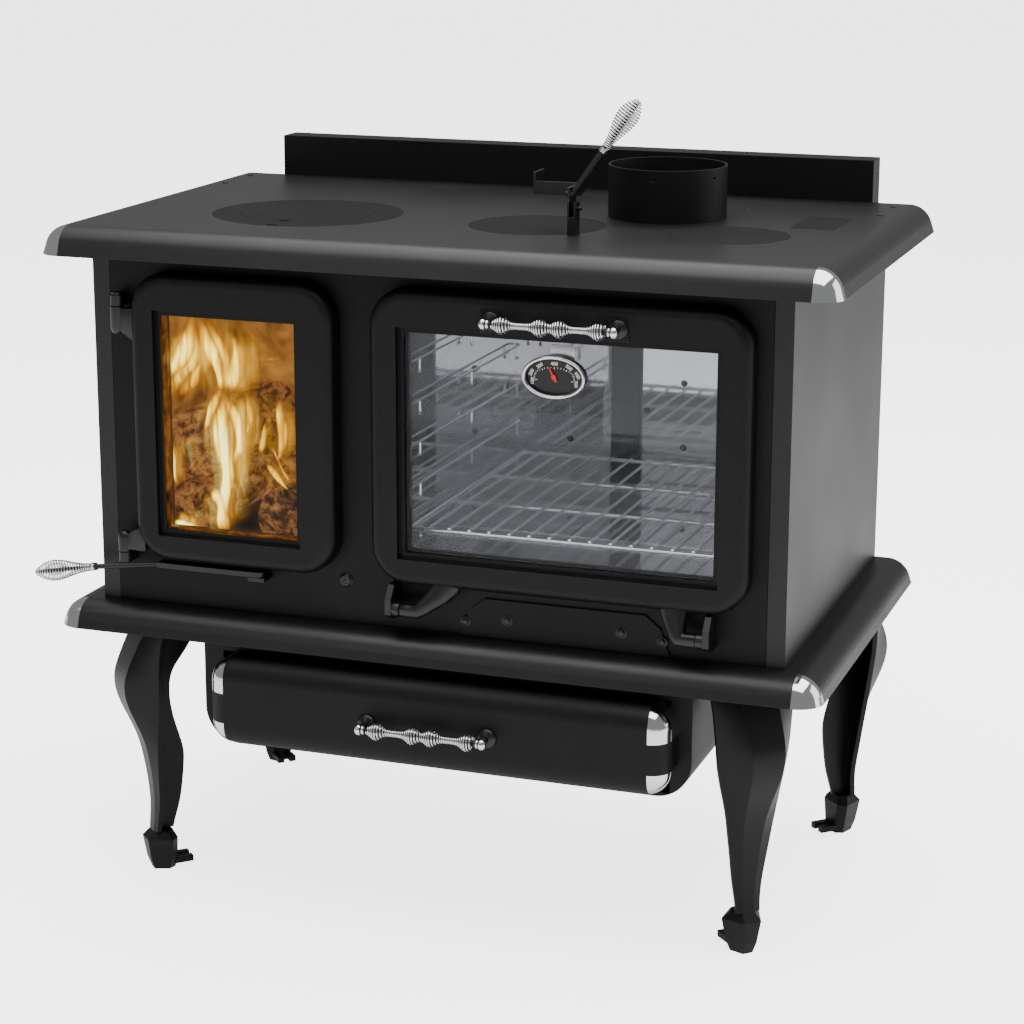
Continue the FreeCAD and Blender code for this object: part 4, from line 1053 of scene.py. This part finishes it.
@dataclass
class Thermometer:
    """The oval thermometer on the oven's pane: bezel, dial, scale and numbers."""

    x: float = 168.5
    z: float = 718.0
    half_wide: float = 39.0
    half_high: float = 25.5
    front: float = -27.4
    dial_back: float = 3.7
    numbers: Sequence[int] = (100, 200, 300, 400, 500, 600, 700)
    sweep: float = 228.0
    number_mm: float = 5.9
    ticks_inset: float = 13.4

    def ellipse(self, inset: float, y: float, count: int) -> list[Vector]:
        """Points round an oval that lies inside the rim by an inset."""
        return [at(self.x + (self.half_wide - inset) * math.cos(a), y,
                   self.z + (self.half_high - inset) * math.sin(a))
                for a in (2 * math.pi * k / count for k in range(count))]

    def build(self) -> None:
        """Makes the bezel and the dial, then prints the scale."""
        rim = Shell().tube(self.ellipse(1.7, self.front + 0.6, 96), 2.1, 14, closed=True)
        rim.put("thermometer_bezel", Coat.CHROME, "oven_door", "gauge_case", 60)
        face_y = self.front + self.dial_back
        dial = Shell()
        loops = [self.ellipse(inset, face_y + deep, 72) for inset, deep in ((4.6, 0.3), (4.8, 0.0), (9.0, 0.0))]
        dial.rings(loops)
        dial.put("thermometer_dial", Coat.DIAL, "oven_door", "gauge_case", 30)
        self.print_scale(face_y - 0.12)
        dress(Coat.POINTER, "thermometer_needle")
        strap = Shell().block(at(self.x - 8, -13.4, self.z + 6), at(self.x + 22, -12.4, self.z + 37), 0.3)
        strap.put("thermometer_strap", Coat.RACK, "oven_door", "gauge_case")

    def spot(self, share: float, inset: float) -> Row:
        """A place on the scale: its share of the sweep from the left, and how far inside the rim it lies."""
        angle = math.radians(90 + self.sweep / 2 - self.sweep * share)
        return ((self.half_wide - inset) * math.cos(angle), (self.half_high - inset) * math.sin(angle))

    def print_scale(self, y: float) -> None:
        """Ticks and generic numbers, printed just proud of the dial."""
        ticks = Shell()
        count = (len(self.numbers) - 1) * 4
        for i in range(count + 1):
            long = 2.6 if i % 4 == 0 else 1.5
            outer, inner = self.spot(i / count, self.ticks_inset), self.spot(i / count, self.ticks_inset + long)
            way = Vector((outer[0] - inner[0], 0, outer[1] - inner[1])).normalized()
            side = Vector((way.z, 0, -way.x)) * 0.28 * MM
            a, b = at(self.x + inner[0], y, self.z + inner[1]), at(self.x + outer[0], y, self.z + outer[1])
            ticks.take([a - side, a + side, b + side, b - side], [(0, 1, 2, 3)])
        ticks.put("thermometer_ticks", Coat.PRINT, "oven_door", "gauge_case")
        for i, number in enumerate(self.numbers):
            curve = bpy.data.curves.new(f"number_{number}", "FONT")
            curve.body = str(number)
            curve.size = self.number_mm * MM
            curve.offset = 0.06 * MM
            curve.align_x, curve.align_y = "CENTER", "CENTER"
            text = show(bpy.data.objects.new(f"number_{number}", curve))
            bpy.context.view_layer.update()
            flat = bpy.data.meshes.new_from_object(text.evaluated_get(bpy.context.evaluated_depsgraph_get()))
            bpy.data.objects.remove(text)
            across, up = self.spot(i / (len(self.numbers) - 1), 9.6)
            tilt = math.atan2(across / self.half_wide, up / self.half_high)
            turn = Matrix.Rotation(math.pi / 2, 4, "X")
            lean = Matrix.Rotation(tilt * 0.8, 4, "Y")
            place = Matrix.Translation(at(self.x + across, y, self.z + up))
            flat.transform(place @ lean @ turn)
            mount(f"thermometer_number_{number}", flat, Coat.PRINT, "oven_door")
        LOG.info("thermometer scale printed with %d numbers", len(self.numbers))


@dataclass
class FrontFittings:
    """Small things on the front: the rosette, bolt heads, the slot in the cleanout cover, handle pads."""

    bolt_spots: Sequence[tuple[float, float, float]] = ((48.8, 399.0, 4.6), (300.0, 399.0, 4.6),
                                                        (103.0, 405.0, 5.2), (248.6, 405.0, 5.2))
    plug_rows: Sequence[Row] = ((-0.2, 9.4), (1.0, 9.2), (1.6, 8.2), (2.2, 7.4), (3.4, 7.3), (4.2, 6.4), (4.3, 4.4),
                                (3.7, 3.8), (3.7, 2.2), (4.4, 1.4), (4.6, 0.01))
    cover_y: float = -3.0
    slot_x: float = 176.0
    slot_z: float = 425.0
    pull_x: float = 169.0
    pull_z: float = 781.0
    pull_reach: float = 79.0

    def build(self) -> None:
        """Makes every small fitting on the front."""
        self.turn_rosette()
        self.cut_slot()
        self.press_pads()

    def turn_rosette(self) -> None:
        """The plug beside the fire door, turned with two rings, and a ring under each bolt head."""
        plug = Shell().turned(self.plug_rows, at(-110.8, 0, 435.5), FRONT, 36)
        for x, z, radius in self.bolt_spots:
            spot = at(x, self.cover_y, z)
            plug.turned([(-0.2, radius + 2.2), (0.7, radius + 2.0), (1.0, radius + 1.2)], spot, FRONT, 28)
            plug.turned([(2.9, radius - 0.6), (3.6, radius - 0.9), (3.9, radius - 1.8), (3.2, radius - 2.4),
                         (3.1, 0.01)], spot, FRONT, 6)
        plug.put("front_washers", Coat.FITTING, "stove", "fittings", 35)

    def cut_slot(self) -> None:
        """The small T-shaped slot: a thin near-black piece on the cover, a painted shadow for its inside."""
        slot = Shell()
        x, y, z = self.slot_x, self.cover_y, self.slot_z
        slot.block(at(x - 9, y - 0.25, z + 1), at(x + 9, y + 1, z + 4), 0)
        slot.block(at(x - 1, y - 0.2, z - 4), at(x + 6, y + 1, z + 2), 0)
        slot.put("cover_slot", Coat.SLOT, "stove", "body_steel")

    def press_pads(self) -> None:
        """The two raised pads that the oven pull's posts stand on."""
        pads = Shell()
        for side in (-1, 1):
            x = self.pull_x + side * self.pull_reach
            pads.block(at(x - 13, -29.4, self.pull_z - 15), at(x + 13, -27.0, self.pull_z + 13), 1.1)
        pads.put("oven_handle_pads", Coat.CASTING, "oven_door", "door_casting", 35)


@dataclass
class DoorHinges:
    """The forged hinge leaves: two on the fire door's left edge, two under the oven door."""

    fire_x: float = -408.0
    fire_y: float = -19.0
    door_left: float = -389.0
    oven_middle: float = 160.5
    feet: Sequence[tuple[float, float]] = ((1, 34.0), (-1, 316.5))
    mouth: float = 165.5
    barrel: float = 22.4
    # each row: how far it has swept across, y, z, half the width and half the depth
    arm: Sequence[tuple[float, float, float, float, float]] = (
        (0, -14, 462, 19, 8), (0.1, -16, 448, 18, 8.5), (0.32, -19, 436, 15, 9), (0.6, -22, 426, 12, 9.4),
        (0.85, -25, 417.5, 10.4, 9.6), (1, -26, 413.4, 9.2, 9.2), (1.5, -26, 413, 8.8, 8.8),
        (1.94, -26, 413, 8.6, 8.6), (2, -26, 413, 7.6, 7.6))

    def build(self) -> None:
        """Forges the four leaves."""
        self.forge_fire_leaves()
        self.forge_oven_arms()

    def forge_fire_leaves(self) -> None:
        """Round barrels with a dome at the end, and leaves that widen towards the door."""
        leaves = Shell()
        x, y = self.fire_x, self.fire_y
        for end, far, sign in ((767.4, 736.0, -1), (450.1, 473.0, 1)):
            long = abs(end - far)
            leaves.turned([(0, 7.0), (0.8, 8.5), (long - 4, 8.7), (long + 1, 7.6), (long + 4, 4.6), (long + 5, 0.01)],
                          at(x, y, end), UP * sign, 32)
            near, wide = end + sign * 3, far + sign * 16
            outline = [(x, near), (self.door_left + 12, near - sign * 1), (self.door_left + 12, wide),
                       (self.door_left - 4, far + sign * 6), (x, far - sign * 2)]
            leaves.slab(outline, y - 5, y + 6, 2.4)
        made = leaves.put("fire_hinge_leaves", Coat.FITTING, "fire_door", "fittings", 40)
        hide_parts("fire_hinge_barrels")

    def forge_oven_arms(self) -> None:
        """Thick arms that sweep down from the door's foot and turn into the barrels."""
        arms = Shell()
        for side, foot in self.feet:
            loops = []
            mouth = self.oven_middle - side * self.mouth
            centres = [at(foot + (mouth - foot) * min(t, 1) - side * self.barrel * max(t - 1, 0), y, z)
                       for t, y, z, _, _ in self.arm]
            for i, (_, _, _, across, deep) in enumerate(self.arm):
                way = (centres[min(i + 1, len(centres) - 1)] - centres[max(i - 1, 0)]).normalized()
                flat = way.cross(BACK).normalized()
                loop = []
                for k in range(28):
                    a = 2 * math.pi * k / 28
                    c, d = math.cos(a), math.sin(a)
                    loop.append(centres[i] + (flat * across * math.copysign(abs(c) ** 0.8, c)
                                              + BACK * deep * math.copysign(abs(d) ** 0.8, d)) * MM)
                loops.append(loop)
            arms.rings(loops)
        made = arms.put("oven_hinge_sweeps", Coat.FITTING, "oven_door", "fittings", 50)
        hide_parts("oven_hinge_arms")


@dataclass
class Studio:
    """A pale floor, soft light and the camera."""

    eye: tuple[float, float, float] = (1108.6, -2853.8, 1340.2)
    forward: tuple[float, float, float] = (-0.32295, 0.91538, -0.24038)
    right: tuple[float, float, float] = (0.94289, 0.33311, 0.00176)
    focal: float = 90.89
    shift: tuple[float, float] = (0.0046, -0.0382)

    def build(self) -> None:
        """Lays the floor, sets the lights and places the camera."""
        self.lay_floor()
        self.set_world()
        self.set_lights()
        self.place_camera()

    def lay_floor(self) -> None:
        """A wide plane of matt white paper; it shines more to the camera than into the stove's reflections."""
        mesh = bpy.data.meshes.new("studio_floor")
        reach = 60.0
        mesh.from_pydata([(-reach, -reach, 0), (reach, -reach, 0), (reach, reach, 0), (-reach, reach, 0)], [],
                         [(0, 1, 2, 3)])
        paper = bpy.data.materials.new("backdrop_paper_matt")
        paper.use_nodes = True
        shader = paper.node_tree.nodes["Principled BSDF"]
        shader.inputs["Base Color"].default_value = linear("#f7f7f7")
        shader.inputs["Roughness"].default_value = 1.0
        shader.inputs["Specular IOR Level"].default_value = 0.0
        shader.inputs["Emission Color"].default_value = linear("#ffffff")
        seen = add(paper.node_tree, "ShaderNodeLightPath").outputs["Is Camera Ray"]
        shine = add(paper.node_tree, "ShaderNodeMath", {"operation": "MULTIPLY_ADD", 1: 2.6, 2: 0.5}, {0: seen})
        paper.node_tree.links.new(shine.outputs["Value"], shader.inputs["Emission Strength"])
        mesh.materials.append(paper)
        show(bpy.data.objects.new("studio_floor", mesh))

    def set_world(self) -> None:
        """Even pale light from everywhere."""
        world = bpy.data.worlds.new("studio_air")
        bpy.context.scene.world = world
        world.use_nodes = True
        air = world.node_tree.nodes["Background"]
        air.inputs["Color"].default_value = (1.0, 1.0, 1.0, 1.0)
        air.inputs["Strength"].default_value = 0.30

    def set_lights(self) -> None:
        """Large soft boxes: above, behind to the right, and a weak one in front."""
        for name, spot, target, size, power in (
            ("overhead_box", (0.3, 0.0, 3.6), (0.0, 0.0, 0.5), 4.5, 290.0),
            ("right_box", (4.2, 1.6, 2.0), (0.3, 0.0, 0.5), 3.0, 60.0),
            ("front_box", (-1.6, -4.2, 3.0), (0.0, 0.0, 0.5), 1.6, 16.0),
        ):
            light = bpy.data.lights.new(name, "AREA")
            light.size = size
            light.energy = power
            item = show(bpy.data.objects.new(name, light))
            item.location = spot
            item.rotation_euler = (Vector(target) - Vector(spot)).to_track_quat("-Z", "Y").to_euler()
            item.visible_camera = False

    def place_camera(self) -> None:
        """A long lens in front, to the right and above."""
        lens = bpy.data.cameras.new("studio_camera")
        lens.sensor_width = 36.0
        lens.lens = self.focal
        lens.shift_x, lens.shift_y = self.shift
        lens.clip_end = 200.0
        camera = show(bpy.data.objects.new("studio_camera", lens))
        right, back = Vector(self.right).normalized(), -Vector(self.forward).normalized()
        up = back.cross(right).normalized()
        turn = Matrix((right, up, back)).transposed().to_4x4()
        camera.matrix_world = Matrix.Translation(at(*self.eye)) @ turn
        bpy.context.scene.camera = camera


def main() -> None:
    """Builds every sub-assembly in order."""
    logging.basicConfig(level=logging.INFO, format="%(name)s: %(message)s")
    parts = [
        Steelwork(), Firebox(), Oven(),
        CoilPull("oven_handle", 169, 781, -28, "oven_door"),
        CoilPull("drawer_handle", 18.4, 272, -60, "ash_drawer"),
        LeverGrip("latch_grip", (-447, -33, 429), (-522, -50, 419), 14.0, "latch"),
        LeverGrip("damper_grip", (176.5, 141.8, 968.8), (214.1, 159.6, 1027.6), 14.5, "damper", 0.0),
        Thermometer(), FrontFittings(), DoorHinges(), Studio(),
    ]
    for part in parts:
        part.build()
    bpy.context.view_layer.update()


if __name__ == "__main__":
    main()
